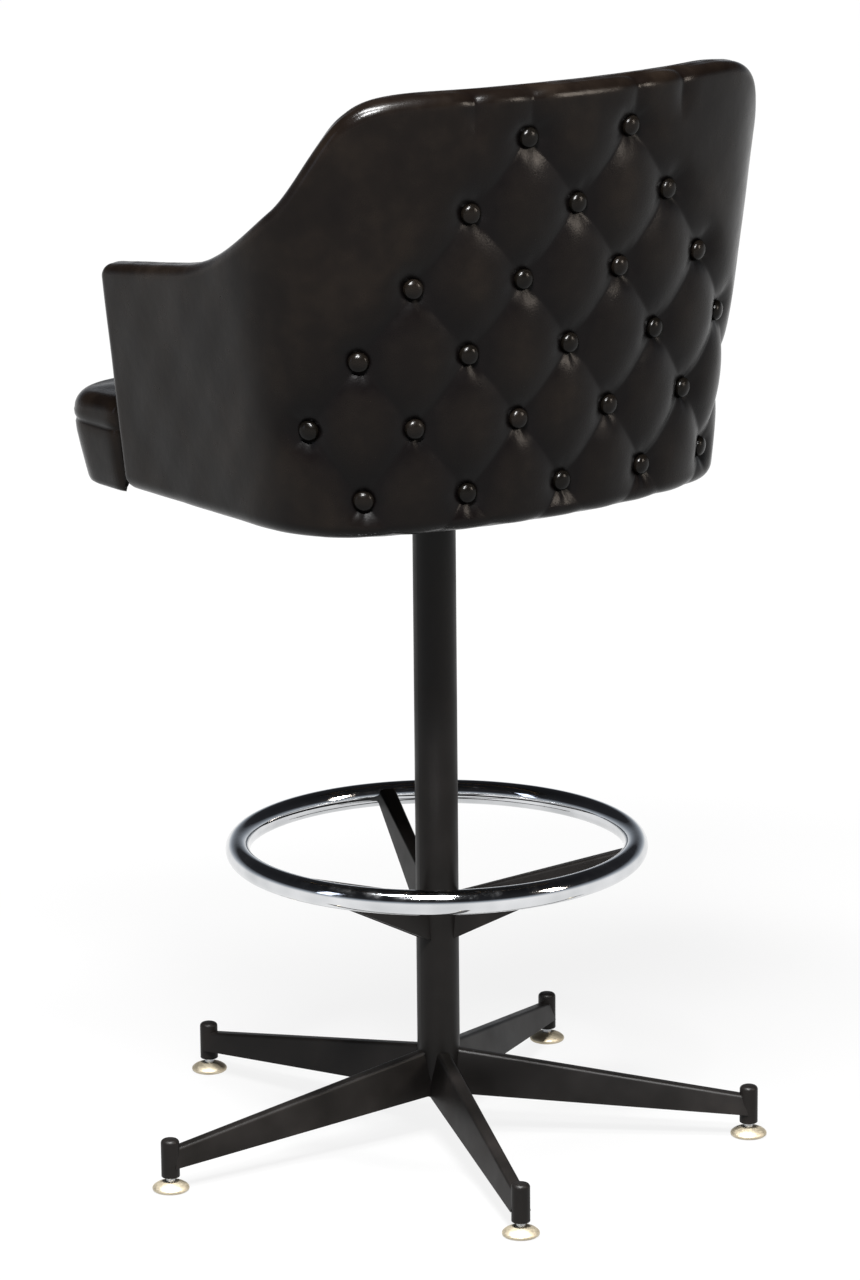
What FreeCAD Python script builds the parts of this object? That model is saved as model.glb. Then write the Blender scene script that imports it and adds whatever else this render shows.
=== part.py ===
import FreeCAD, Part
import math
import os

import Sketcher

# Swivel bar stool: five-leg steel pedestal with a chromed foot ring and a tufted bucket seat.
# The origin is on the floor, on the column's axis. The sitter faces -Y and +Z is up.
# All lengths are in millimetres and all angles in degrees.

os.makedirs("parts", exist_ok=True)
doc = FreeCAD.newDocument("bar_stool")
Vector = FreeCAD.Vector

# Driving dimensions
DIMENSIONS = {
    # column and foot
    "column_od": 44.45, "column_wall": 2.1, "column_bottom": 45.0, "column_top": 676.0,
    "leg_count": 5, "leg_angle": -3.7, "glide_circle_rad": 324.0, "leg_sheet": 2.5,
    "leg_root_top": 93.0, "leg_root_bottom": 48.0, "leg_root_width": 31.6, "leg_ridge": 13.0,
    "leg_tip_top": 46.0, "leg_tip_bottom": 25.0, "leg_tip_width": 21.0,
    "weld_gap": 0.1,
    # leg-end sockets and levelling glides
    "socket_od": 19.0, "socket_bottom": 15.0, "socket_top": 55.0, "socket_dome": 5.0,
    "socket_bore_depth": 33.0, "thread_od": 9.525, "thread_gap": 0.05, "stem_top": 40.0,
    "cup_dia": 38.0, "cup_height": 10.0, "cup_foot_dia": 31.0, "cup_foot_height": 2.5,
    "cup_neck_dia": 17.0, "cup_crown_dia": 33.0, "cup_crown_height": 6.5,
    "cup_wall": 2.8, "cup_hollow_gap": 4.0,
    "stem_head_dia": 14.0, "stem_head_height": 2.4, "stem_head_gap": 0.1,
    # foot ring and its struts
    "ring_tube_dia": 25.4, "ring_centre_rad": 206.0, "ring_height": 313.0, "ring_sides": 48,
    "ring_bar_sides": 16,
    "strut_count": 3, "strut_angle": 9.5, "strut_width": 20.0, "strut_ridge": 11.0,
    "strut_sheet": 2.5, "strut_root_drop": 45.0, "strut_root_depth": 53.0,
    "strut_tip_rad": 214.0, "strut_tip_drop": 8.0, "strut_tip_depth": 20.0,
    # swivel
    "spindle_dia": 25.4, "spindle_length": 150.0, "running_gap": 0.05, "bushing_fit_gap": 0.15,
    "bushing_flange": 3.0, "turned_sides": 20, "stem_sides": 24,
    "sleeve_length": 118.0, "collar_dia": 40.0, "collar_height": 15.0,
    "clip_thickness": 2.0, "clip_dia": 32.0, "clip_groove_dia": 22.4, "clip_gap": 0.3,
    "plate_size": 152.0, "plate_thickness": 5.0, "plate_corner_rad": 12.0, "bolt_pitch": 120.0,
    "bolt_dia": 6.35, "bolt_hole_gap": 0.3, "bolt_head_dia": 12.7, "bolt_head_height": 4.2,
    "bolt_depth": 13.0, "hidden_sides": 12,
    # seat board and dust cover
    "board_thickness": 16.0, "board_front": 232.0, "board_corner_rad": 40.0, "board_gap": 0.3, "board_room": 2.2,
    "dust_cover": 0.8, "dust_inset": 6.0, "plate_window_gap": 4.0,
    # bucket: outline, lean and flare, taken at the reference height
    "ref_height": 900.0, "bucket_bottom": 698.0, "half_width": 289.0, "rear_reach": 241.0,
    "rear_rad": 620.0, "corner_rad": 133.0, "arm_front": 172.0, "flare": 0.000385, "lean": 0.099,
    # rim line seen from the side
    "arm_front_height": 931.0, "arm_rear_height": 950.0, "arm_rear_reach": 25.0,
    "wing_share": 0.397849, "wing_reach": 133.0, "shoulder_share": 0.801075,
    "shoulder_reach": 193.0, "back_rise": 438.0, "back_reach": 243.0, "arm_corner_rad": 16.0,
    "arm_slope": 0.15, "wing_steepness": 1.03742, "shoulder_steepness": 2.08925,
    # upholstery layers
    "cover_thickness": 21.2, "layer_gap": 0.3, "shell_thickness": 7.0, "pad_thickness": 10.3,
    "pad_gap": 0.7, "cap_room": 0.8,
    "lumbar_swell": 16.0, "lumbar_start": 820.0, "lumbar_width": 150.0, "band_columns": 17, "band_front_gap": 14.4,
    "pad_edge": 6.0, "rim_roll": 14.0,
    "rim_lip": 9.0, "rim_bulge": 2.7, "bottom_tuck": 4.0,
    # tufting: rows from the top, button pitch along the outline
    "button_pitch": 118.0, "top_row_drop": 50.0, "bottom_row_rise": 38.0, "button_sink": 14.0,
    "crease_sink": 6.0, "pleat_sink": 3.0, "tuft_fade": 92.0, "bottom_pleat_sink": 10.0, "bottom_swell_sink": 6.0, "top_swell_sink": 1.5,
    "quilt_steps": 3, "chord_room": 5.4, "shell_rim_gap": 3.0,
    "button_dia": 21.0, "button_dome": 4.3, "button_gap": 4.5, "button_back": 3.6, "button_sides": 12,
    # seat cushion
    "cushion_crown": 803.0, "cushion_gap": 0.5, "cushion_side_gap": 2.2, "crown_rad": 3200.0, "cushion_edge_rad": 17.0,
    "cushion_back_reach": 40.0, "nose_widest": 757.0, "cushion_middle_reach": 200.0,
    "cushion_steps": 13, "cushion_edge_steps": 3, "cushion_arm_gap": 20.0,
    "nose_reach": 286.0, "nose_bottom": 692.0, "nose_inset": 3.0, "nose_corner_rad": 50.0,
    "nose_gap": 0.5, "nose_draw": 12.0,
    # dowels that hold the shell to the board
    "dowel_count": 4, "dowel_first": 150.0, "dowel_step": 300.0, "dowel_dia": 8.0,
    "dowel_length": 30.0, "dowel_sink": 3.0, "dowel_gap": 0.1,
}
# Buttons in each row from the top, counted in half pitches from the middle of the back
BUTTON_ROWS = {1: (-1, 1), 2: (-2, 0, 2), 3: (-3, -1, 1, 3), 4: (-4, -2, 0, 2, 4),
               5: (-5, -3, -1, 1, 3, 5), 6: (-4, -2, 0, 2, 4)}

# Heights that follow from the driving dimensions
FOLLOWING = {
    "strut_root_top": "=ring_height - strut_root_drop",
    "strut_root_bottom": "=strut_root_top - strut_root_depth",
    "strut_tip_top": "=ring_height - strut_tip_drop",
    "strut_tip_bottom": "=strut_tip_top - strut_tip_depth",
    "back_height": "=bucket_bottom + back_rise",
    "rim_rise": "=back_height - arm_rear_height",
    "rim_pitch": "=rim_rise / (back_reach + arm_rear_reach)",
    "wing_height": "=arm_rear_height + rim_rise * wing_share",
    "shoulder_height": "=arm_rear_height + rim_rise * shoulder_share",
    "wing_slope": "=rim_pitch * wing_steepness",
    "shoulder_slope": "=rim_pitch * shoulder_steepness",
    "top_row_height": "=back_height - top_row_drop",
    "bottom_row_height": "=bucket_bottom + bottom_row_rise",
    "row_step": "=(top_row_height - bottom_row_height) / %d" % (max(BUTTON_ROWS) - 1),
}
sheet = doc.addObject("Spreadsheet::Sheet", "dims")
for number, (alias, amount) in enumerate({**DIMENSIONS, **FOLLOWING}.items(), start=1):
    sheet.set("A%d" % number, alias)
    sheet.set("B%d" % number, str(amount))
    sheet.setAlias("B%d" % number, alias)
doc.recompute()


# Helpers: values, sketches and features bound to the sheet
def dim(name):
    """The value of one named size."""
    return float(getattr(sheet, name))


def value(expression):
    """The value of an expression over the sheet's names."""
    result = sheet.evalExpression(expression)
    return float(getattr(result, "Value", result))


def new_body(label):
    body = doc.addObject("PartDesign::Body", label)
    body.Label = label
    return body


def attached_sketch(body, name, plane, offset="0"):
    """An empty sketch on one of the body's origin planes, moved along the plane's normal."""
    sketch = body.newObject("Sketcher::SketchObject", name)
    origin_plane = [f for f in body.Origin.OriginFeatures if f.Role == plane][0]
    sketch.AttachmentSupport = [(origin_plane, "")]
    sketch.MapMode = "FlatFace"
    sketch.setExpression("AttachmentOffset.Base.z", offset)
    return sketch


def draw_polygon(sketch, points):
    """A closed outline of straight lines whose corners are bound to expressions."""
    corners = [Vector(value(x), value(y), 0) for x, y in points]
    first = sketch.GeometryCount
    for start, end in zip(corners, corners[1:] + corners[:1]):
        sketch.addGeometry(Part.LineSegment(start, end))
    for number, (x, y) in enumerate(points):
        line = first + number
        after = first + (number + 1) % len(points)
        sketch.addConstraint(Sketcher.Constraint("Coincident", line, 2, after, 1))
        across = sketch.addConstraint(Sketcher.Constraint("DistanceX", -1, 1, line, 1, corners[number].x))
        sketch.setExpression("Constraints[%d]" % across, x)
        up = sketch.addConstraint(Sketcher.Constraint("DistanceY", -1, 1, line, 1, corners[number].y))
        sketch.setExpression("Constraints[%d]" % up, y)


def draw_circle(sketch, radius, x="0", y="0"):
    """A circle whose radius and centre are bound to expressions."""
    centre = Vector(value(x), value(y), 0)
    circle = sketch.addGeometry(Part.Circle(centre, Vector(0, 0, 1), value(radius)))
    bound = sketch.addConstraint(Sketcher.Constraint("Radius", circle, value(radius)))
    sketch.setExpression("Constraints[%d]" % bound, radius)
    for kind, amount, expression in (("DistanceX", centre.x, x), ("DistanceY", centre.y, y)):
        bound = sketch.addConstraint(Sketcher.Constraint(kind, -1, 1, circle, 3, amount))
        sketch.setExpression("Constraints[%d]" % bound, expression)


def revolve(body, points):
    """A turned piece: the outline is given as radius and height."""
    sketch = attached_sketch(body, body.Label + "_section", "XZ_Plane")
    draw_polygon(sketch, points)
    turned = body.newObject("PartDesign::Revolution", body.Label + "_turned")
    turned.Profile = sketch
    turned.ReferenceAxis = (sketch, ["V_Axis"])
    turned.Angle = 360
    doc.recompute()
    return turned


def pad(body, sketch, length):
    raised = body.newObject("PartDesign::Pad", sketch.Name + "_pad")
    raised.Profile = sketch
    raised.setExpression("Length", length)
    doc.recompute()
    return raised


def round_edges(body, radius, chosen):
    """A fillet on the edges for which chosen(edge) is true."""
    base = body.Tip
    names = ["Edge%d" % n for n, edge in enumerate(base.Shape.Edges, start=1) if chosen(edge)]
    if not names:
        raise RuntimeError(body.Label + " has no edge to round")
    fillet = body.newObject("PartDesign::Fillet", body.Label + "_round")
    fillet.Base = (base, names)
    fillet.setExpression("Radius", radius)
    doc.recompute()
    return fillet


def turn_about_column(body, angle, reach="0"):
    """Place a body at a reach from the column's axis, turned by an angle about it."""
    body.setExpression("Placement.Rotation.Angle", "(%s) * 1 deg" % angle)
    body.setExpression("Placement.Base.x", "(%s) * cos(%s)" % (reach, angle))
    body.setExpression("Placement.Base.y", "(%s) * sin(%s)" % (reach, angle))


def plain_feature(label, shape):
    """A piece whose shape is worked out here from the sheet's sizes."""
    feature = doc.addObject("Part::Feature", label)
    feature.Label = label
    feature.Shape = shape
    return feature


def many_sided(points, sides, phase=0.0):
    """A turned piece with flat sides: the outline is given as radius and height, and it may
    begin and end on the axis."""
    rings = []
    for turn in range(sides):
        angle = 2 * math.pi * (turn + phase) / sides
        rings.append([Vector(radius * math.cos(angle), radius * math.sin(angle), height)
                      for radius, height in points])
    faces = []
    for turn in range(sides):
        one, two = rings[turn], rings[(turn + 1) % sides]
        for number in range(len(points)):
            after = (number + 1) % len(points)
            if points[number][0] == 0 and points[after][0] == 0:
                continue
            if points[number][0] == 0:
                faces.append(triangle(one[number], one[after], two[after]))
            elif points[after][0] == 0:
                faces.append(triangle(one[number], one[after], two[number]))
            else:
                faces += quad(one[number], one[after], two[after], two[number])
    return sewn_solid(faces, "turned piece").removeSplitter()


# Column: one straight tube from under the hub to the swivel
def make_column():
    body = new_body("column_tube")
    sketch = attached_sketch(body, "column_rings", "XY_Plane", "dims.column_bottom")
    draw_circle(sketch, "dims.column_od / 2")
    draw_circle(sketch, "dims.column_od / 2 - dims.column_wall")
    pad(body, sketch, "dims.column_top - dims.column_bottom")


def channel_section(kind, width, end):
    """Corners of a folded channel, open below, with walls of one sheet thickness. The walls
    lean alike at both ends, so that they are flat."""
    lean = "(dims.{0}_{1} - dims.{0}_ridge) / 2 / (dims.{0}_root_top - dims.{0}_root_bottom)".format(
        kind, "root_width" if kind == "leg" else "width")
    wide = "dims.%s / 2" % width
    high, low = "dims.%s_%s_top" % (kind, end), "dims.%s_%s_bottom" % (kind, end)
    narrow = "%s - (%s - %s) * %s" % (wide, high, low, lean)
    skin = "dims.%s_sheet" % kind
    slope = "atan((%s - %s) / (%s - %s))" % (wide, narrow, high, low)
    foot_in = "%s - %s / cos(%s)" % (wide, skin, slope)
    ridge_in = "%s + %s * tan(%s) - %s / cos(%s)" % (narrow, skin, slope, skin, slope)
    right = [(wide, low), (narrow, high)]
    left = [("-(%s)" % x, y) for x, y in reversed(right)]
    inside = [(foot_in, low), (ridge_in, "%s - %s" % (high, skin))]
    inside_left = [("-(%s)" % x, y) for x, y in inside]
    return right + left + inside_left + inside[::-1]


def make_channel(start, end, root, tip, cuts):
    """A tapered channel of flat walls between two sections, square to the X axis, less the cuts."""
    root, tip = [[Vector(value(x), value(y), value(z)) for y, z in corners]
                 for x, corners in ((start, root), (end, tip))]
    faces = [Part.Face(Part.makePolygon(ring + ring[:1])) for ring in (root, tip)]
    for number in range(len(root)):
        after = (number + 1) % len(root)
        faces += quad(root[number], root[after], tip[after], tip[number])
    return sewn_solid(faces, "channel").removeSplitter().cut(cuts)


def round_column(height):
    """The column's round, with the weld gap, up to a height."""
    return Part.makeCylinder(dim("column_od") / 2 + dim("weld_gap"), height)


# Legs: tapered channels, coped to the column, mitred to each other and coped to the sockets
def make_legs():
    root = channel_section("leg", "leg_root_width", "root")
    tip = channel_section("leg", "leg_tip_width", "tip")
    half_share = math.pi / dim("leg_count")
    start = "dims.column_od / 2 * cos(180 / dims.leg_count)"
    high = 2 * dim("leg_root_top")
    apex = dim("weld_gap") / 2 / math.sin(half_share)
    reach = dim("column_od")
    far = apex + reach / math.tan(half_share)
    mitre = upright(Part.makePolygon([
        Vector(x, y, 0) for x, y in ((apex, 0), (far, reach), (-reach, reach), (-reach, -reach),
                                     (far, -reach), (apex, 0))]), high)
    socket_round = Part.makeCylinder(dim("socket_od") / 2 + dim("weld_gap"), high,
                                     Vector(dim("glide_circle_rad"), 0, 0))
    shape = make_channel(start, "dims.glide_circle_rad", root, tip,
                         [round_column(high), mitre, socket_round])
    for number in range(int(dim("leg_count"))):
        leg = plain_feature("leg_%d" % (number + 1), shape)
        turn_about_column(leg, "dims.leg_angle + %d * 360 / dims.leg_count" % number)


# Sockets: posts with a bevelled top at the leg ends, with a tapped blind hole from below
def make_sockets():
    radius, bevel = dim("socket_od") / 2, dim("socket_dome")
    bottom, top = dim("socket_bottom"), dim("socket_top")
    post = many_sided([(0, bottom), (radius, bottom), (radius, top - bevel),
                       (radius - 0.6 * bevel, top), (0, top)], int(dim("turned_sides")))
    post = post.cut(Part.makeCylinder(dim("thread_od") / 2 + dim("thread_gap"),
                                      dim("socket_bore_depth"), Vector(0, 0, bottom)))
    posts = []
    for number in range(int(dim("leg_count"))):
        angle = dim("leg_angle") + number * 360 / dim("leg_count")
        posts.append(post.translated(Vector(dim("glide_circle_rad"), 0, 0))
                     .rotated(Vector(), Vector(0, 0, 1), angle))
    plain_feature("glide_sockets", Part.makeCompound(posts))


# Glides: a pressed cup on the floor and a threaded stem that turns in it
def make_glides():
    ceiling = dim("cup_height") - dim("cup_wall")
    head_top = ceiling - dim("stem_head_gap")
    thread = dim("thread_od") / 2
    hollow = dim("stem_head_dia") / 2 + dim("cup_hollow_gap")
    sides = int(dim("turned_sides"))
    bore = (thread + dim("stem_head_gap")) / math.cos(math.pi / sides)
    cup_shape = many_sided([
        (hollow, 0), (dim("cup_foot_dia") / 2, 0), (dim("cup_dia") / 2, dim("cup_foot_height")),
        (dim("cup_crown_dia") / 2, dim("cup_crown_height")),
        (dim("cup_neck_dia") / 2, dim("cup_height")), (bore, dim("cup_height")),
        (bore, ceiling), (hollow, ceiling)], sides)
    head_bottom = head_top - dim("stem_head_height")
    head = dim("stem_head_dia") / 2
    stem_shape = many_sided([(0, head_bottom), (head, head_bottom), (head, head_top),
                             (thread, head_top), (thread, dim("stem_top")), (0, dim("stem_top"))],
                            int(dim("stem_sides")))
    for number in range(int(dim("leg_count"))):
        angle = "dims.leg_angle + %d * 360 / dims.leg_count" % number
        for name, shape in (("glide_cup", cup_shape), ("glide_stem", stem_shape)):
            piece = plain_feature("%s_%d" % (name, number + 1), shape)
            turn_about_column(piece, angle, "dims.glide_circle_rad")


def foot_ring(gap, phase):
    """The foot ring with flat sides, let out by a gap, and turned by a share of one side."""
    corners = int(dim("ring_bar_sides"))
    radius = dim("ring_tube_dia") / 2 + gap
    turns = [math.pi * (2 * number + 1) / corners for number in range(corners)]
    section = [(dim("ring_centre_rad") + radius * math.cos(turn),
                dim("ring_height") + radius * math.sin(turn)) for turn in turns]
    return many_sided(section, int(dim("ring_sides")), phase)


# Foot ring, and the struts that hold it, each coped to the ring at the middle of a flat side
def make_footrest():
    ring = plain_feature("footrest_ring", foot_ring(0.0, 0.5))
    turn_about_column(ring, "dims.strut_angle")
    root = channel_section("strut", "strut_width", "root")
    tip = channel_section("strut", "strut_width", "tip")
    shape = make_channel("dims.column_od / 4", "dims.strut_tip_rad", root, tip,
                         [round_column(2 * dim("strut_root_top")), foot_ring(dim("weld_gap"), 0.5)])
    for number in range(int(dim("strut_count"))):
        strut = plain_feature("footrest_strut_%d" % (number + 1), shape)
        turn_about_column(strut, "dims.strut_angle + %d * 360 / dims.strut_count" % number)


# Swivel: a spindle turning in a flanged nylon sleeve, with a clip below
def make_swivel():
    bore = "dims.spindle_dia / 2 + dims.running_gap"
    seat = "dims.column_od / 2 - dims.column_wall - dims.bushing_fit_gap"
    top = "dims.column_top"
    flange_top = top + " + dims.bushing_flange"
    sleeve = new_body("swivel_sleeve")
    low_end = top + " - dims.sleeve_length"
    revolve(sleeve, [(bore, flange_top), (bore, low_end), (seat, low_end), (seat, top),
                     ("dims.column_od / 2", top), ("dims.column_od / 2", flange_top)])
    shaft, groove = "dims.spindle_dia / 2", "dims.clip_groove_dia / 2"
    groove_top = low_end + " - dims.clip_gap"
    groove_bottom = groove_top + " - dims.clip_thickness - 2 * dims.weld_gap"
    collar_top = flange_top + " + dims.collar_height"
    spindle = new_body("swivel_spindle")
    revolve(spindle, [
        ("0", flange_top + " - dims.spindle_length"), (shaft, flange_top + " - dims.spindle_length"),
        (shaft, groove_bottom), (groove, groove_bottom), (groove, groove_top), (shaft, groove_top),
        (shaft, flange_top), ("dims.collar_dia / 2", flange_top), ("dims.collar_dia / 2", collar_top),
        ("0", collar_top)])
    clip_top = value(groove_top + " - dims.weld_gap")
    clip_bottom = clip_top - dim("clip_thickness")
    sides = int(dim("turned_sides"))
    bore_rad = value(groove + " + dims.weld_gap") / math.cos(math.pi / sides)
    rim_rad = dim("clip_dia") / 2
    plain_feature("retaining_clip", many_sided([(bore_rad, clip_top), (bore_rad, clip_bottom),
                                                (rim_rad, clip_bottom), (rim_rad, clip_top)], sides))
    plate = new_body("seat_plate")
    sketch = attached_sketch(plate, "seat_plate_outline", "XY_Plane", collar_top)
    half = "dims.plate_size / 2"
    draw_polygon(sketch, [(half, "-" + half), (half, half), ("-" + half, half),
                          ("-" + half, "-" + half)])
    for x, y in ((1, 1), (1, -1), (-1, 1), (-1, -1)):
        draw_circle(sketch, "dims.bolt_dia / 2 + dims.bolt_hole_gap",
                    "%d * dims.bolt_pitch / 2" % x, "%d * dims.bolt_pitch / 2" % y)
    pad(plate, sketch, "dims.plate_thickness")
    round_edges(plate, "dims.plate_corner_rad", lambda edge: isinstance(edge.Curve, Part.Line)
                and abs(edge.Vertexes[0].Z - edge.Vertexes[1].Z) > 1)


# Outline of the bucket: one shallow arc behind, two corner arcs and two straight arms
def outline_at(height):
    """Scale, rear reach, half angle of the rear arc and corner centre at one height."""
    scale = 1 + dim("flare") * (height - dim("ref_height"))
    rear = dim("rear_reach") + dim("lean") * (height - dim("ref_height"))
    spread = dim("rear_rad") - dim("corner_rad")
    alpha = math.asin((dim("half_width") - dim("corner_rad")) / spread)
    centre_x = spread * math.sin(alpha)
    centre_y = spread * math.cos(alpha) - dim("rear_rad")
    return scale, rear, alpha, centre_x, centre_y


def bucket_point(along, height, level):
    """A point of the bucket: along the outline from the middle of the back, at a height, and
    so far outside (or inside, if negative) the fullest outline."""
    scale, rear, alpha, centre_x, centre_y = outline_at(height)
    path = abs(along)
    arc_end = dim("rear_rad") * alpha
    corner_end = arc_end + dim("corner_rad") * (math.pi / 2 - alpha)
    if path < arc_end:
        turn = path / dim("rear_rad")
        x = dim("rear_rad") * math.sin(turn)
        y = dim("rear_rad") * (math.cos(turn) - 1)
    elif path < corner_end:
        turn = alpha + (path - arc_end) / dim("corner_rad")
        x = centre_x + dim("corner_rad") * math.sin(turn)
        y = centre_y + dim("corner_rad") * math.cos(turn)
    else:
        turn = math.pi / 2
        x = centre_x + dim("corner_rad")
        y = centre_y - (path - corner_end)
    x = x * scale + level * math.sin(turn)
    y = y * scale + level * math.cos(turn) + rear
    return Vector(math.copysign(x, along), y, height)


def arm_end(height):
    """The length along the outline at which the arm's front is reached."""
    scale, rear, alpha, centre_x, centre_y = outline_at(height)
    corner_end = dim("rear_rad") * alpha + dim("corner_rad") * (math.pi / 2 - alpha)
    return corner_end + (rear + centre_y * scale + dim("arm_front")) / scale


def rim_line(y):
    """Height of the rim over a distance behind the column: a smooth line through five heights."""
    knots = [(-dim("arm_front"), dim("arm_front_height"), dim("arm_slope")),
             (-dim("arm_rear_reach"), dim("arm_rear_height"), dim("arm_slope")),
             (dim("wing_reach"), dim("wing_height"), dim("wing_slope")),
             (dim("shoulder_reach"), dim("shoulder_height"), dim("shoulder_slope")),
             (dim("back_reach"), dim("back_height"), 0.0)]
    if y >= knots[-1][0]:
        return knots[-1][1]
    for (y0, z0, slope0), (y1, z1, slope1) in zip(knots, knots[1:]):
        if y <= y1:
            break
    span = y1 - y0
    u = max(0.0, (y - y0) / span)
    height = (z0 * (1 + 2 * u) * (1 - u) ** 2 + z1 * u * u * (3 - 2 * u)
              + span * (slope0 * u * (1 - u) ** 2 - slope1 * u * u * (1 - u)))
    behind = y + dim("arm_front")
    if behind < dim("arm_corner_rad"):
        inward = dim("arm_corner_rad") - max(0.0, behind)
        height -= dim("arm_corner_rad") - math.sqrt(dim("arm_corner_rad") ** 2 - inward ** 2)
    return height


def rim_top(along):
    """Height of the rim at a length along the outline; beyond the arm's front it stays there."""
    height = dim("back_height")
    for _ in range(12):
        path = min(abs(along), arm_end(height))
        height = 0.5 * (height + rim_line(bucket_point(path, height, 0).y))
    return height


# Outline wires for the layers that are lofted straight from the seat to the rim
def outline_edges(height, level, front):
    """The open outline from one arm's front round the back to the other."""
    scale, rear, alpha, centre_x, centre_y = outline_at(height)

    def on_arc(centre, radius, turn, side):
        return Vector(side * (centre[0] + radius * math.sin(turn)),
                      centre[1] + radius * math.cos(turn), height)

    rear_centre = (0.0, rear - dim("rear_rad") * scale)
    rear_radius = dim("rear_rad") * scale + level
    corner_centre = (centre_x * scale, rear + centre_y * scale)
    corner_radius = dim("corner_rad") * scale + level
    middle_turn = (alpha + math.pi / 2) / 2
    edges = []
    for side in (1, -1):
        side_point = on_arc(corner_centre, corner_radius, math.pi / 2, side)
        corner_point = on_arc(corner_centre, corner_radius, alpha, side)
        corner = Part.Arc(side_point, on_arc(corner_centre, corner_radius, middle_turn, side),
                          corner_point).toShape()
        arm = Part.makeLine(Vector(side_point.x, front, height), side_point)
        edges.append([arm, corner])
    right, left = edges
    back = Part.Arc(on_arc(rear_centre, rear_radius, alpha, 1), on_arc(rear_centre, rear_radius, 0, 1),
                    on_arc(rear_centre, rear_radius, alpha, -1)).toShape()
    return right + [back] + left[::-1]


def ends_of(edges):
    """The two loose ends of a run of edges: the arm fronts."""
    first = min((v.Point for v in edges[0].Vertexes), key=lambda p: p.y)
    last = min((v.Point for v in edges[-1].Vertexes), key=lambda p: p.y)
    return first, last


def seat_wire(height, level, front, corner=0.0):
    """A closed outline with a straight front and, if asked, rounded front corners."""
    edges = outline_edges(height, level, front + corner)
    right, left = ends_of(edges)
    if corner:
        run = corner * math.sqrt(0.5)
        centre_x = right.x - corner
        for side in (1, -1):
            edges.append(Part.Arc(
                Vector(side * right.x, right.y, height),
                Vector(side * (centre_x + run), right.y - run, height),
                Vector(side * centre_x, front, height)).toShape())
        edges.append(Part.makeLine(Vector(centre_x, front, height), Vector(-centre_x, front, height)))
    else:
        edges.append(Part.makeLine(right, left))
    return Part.Wire(Part.__sortEdges__(edges))


def upright(wire, height):
    return Part.Face(wire).extrude(Vector(0, 0, height))


def between(wires):
    return Part.makeLoft(wires, True, True)


# Heights and levels that follow from the stack of pieces
def plate_top():
    return (dim("column_top") + dim("bushing_flange") + dim("collar_height")
            + dim("plate_thickness"))


def shell_levels():
    outer = -dim("cover_thickness") - dim("layer_gap")
    return outer, outer - dim("shell_thickness")


def bolt_points():
    half = dim("bolt_pitch") / 2
    return [Vector(x, y, 0) for x in (-half, half) for y in (-half, half)]


def dowel_frames():
    """Where each dowel starts, under the shell's outer face, and the way it points."""
    height = plate_top() + dim("board_thickness") / 2
    level = shell_levels()[0] - dim("dowel_sink")
    frames = []
    for step in range(int(dim("dowel_count") / 2)):
        along = dim("dowel_first") + step * dim("dowel_step")
        for side in (1, -1):
            start = bucket_point(side * along, height, level)
            inward = bucket_point(side * along, height, level - 1) - start
            frames.append((start, inward))
    return frames


def dowel_shape(frame, gap):
    """One dowel, or the hole for it where a gap is given."""
    start, inward = frame
    sides = int(dim("hidden_sides"))
    radius = dim("dowel_dia") / 2 + gap / math.cos(math.pi / sides)
    lead = -dim("dowel_sink") * (gap > 0) * 2
    end = dim("dowel_length") + gap
    shape = many_sided([(0, lead), (radius, lead), (radius, end), (0, end)], sides)
    shape.Placement = FreeCAD.Placement(start, FreeCAD.Rotation(Vector(0, 0, 1), inward))
    return shape


# Seat board of plywood, drilled for the plate's screws and the shell's dowels
def make_board():
    bottom = plate_top()
    level = shell_levels()[1] - dim("board_gap") - dim("board_room")
    board = upright(seat_wire(bottom, level, -dim("board_front"), dim("board_corner_rad")),
                    dim("board_thickness"))
    sides = int(dim("hidden_sides"))
    radius = dim("bolt_dia") / 2 + dim("weld_gap") / math.cos(math.pi / sides)
    hole = many_sided([(0, bottom - 1), (radius, bottom - 1), (radius, bottom + dim("bolt_depth") + 1),
                       (0, bottom + dim("bolt_depth") + 1)], sides)
    cuts = [hole.translated(spot) for spot in bolt_points()]
    cuts += [dowel_shape(frame, dim("dowel_gap")) for frame in dowel_frames()]
    plain_feature("seat_board", board.cut(cuts))


# Hex-head wood screws that hold the plate to the board
def make_bolts():
    plate_bottom = plate_top() - dim("plate_thickness")
    head_bottom = plate_bottom - dim("bolt_head_height")
    head, shank = dim("bolt_head_dia") / 2, dim("bolt_dia") / 2
    tip = plate_top() + dim("bolt_depth")
    screw = many_sided([(0, head_bottom), (head, head_bottom), (head, plate_bottom),
                        (0, plate_bottom)], 6)
    screw = screw.fuse(many_sided([(0, plate_bottom), (shank, plate_bottom), (shank, tip), (0, tip)],
                                  int(dim("hidden_sides"))))
    plain_feature("plate_screws", Part.makeCompound([screw.translated(spot)
                                                     for spot in bolt_points()]))


# Thin dust cover under the board, open round the plate
def make_dust_cover():
    top = plate_top()
    bottom = top - dim("dust_cover")
    level = shell_levels()[1] - dim("dust_inset")
    front = -dim("board_front") + dim("dust_inset")
    cover = upright(seat_wire(bottom, level, front, dim("board_corner_rad")), dim("dust_cover"))
    window = dim("plate_size") + 2 * dim("plate_window_gap")
    hole = Part.makeBox(window, window, 2 * dim("dust_cover"),
                        Vector(-window / 2, -window / 2, bottom - dim("dust_cover") / 2))
    plain_feature("bottom_cover", cover.cut(hole))


# Sewn layers: cells of three by three places, worked out finer and closed into a solid
def through_three(first, middle, last, share):
    """The quadratic through three equally spaced values or vectors."""
    return (first * (2 * (share - 0.5) * (share - 1)) + middle * (4 * share * (1 - share))
            + last * (2 * share * (share - 0.5)))


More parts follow.
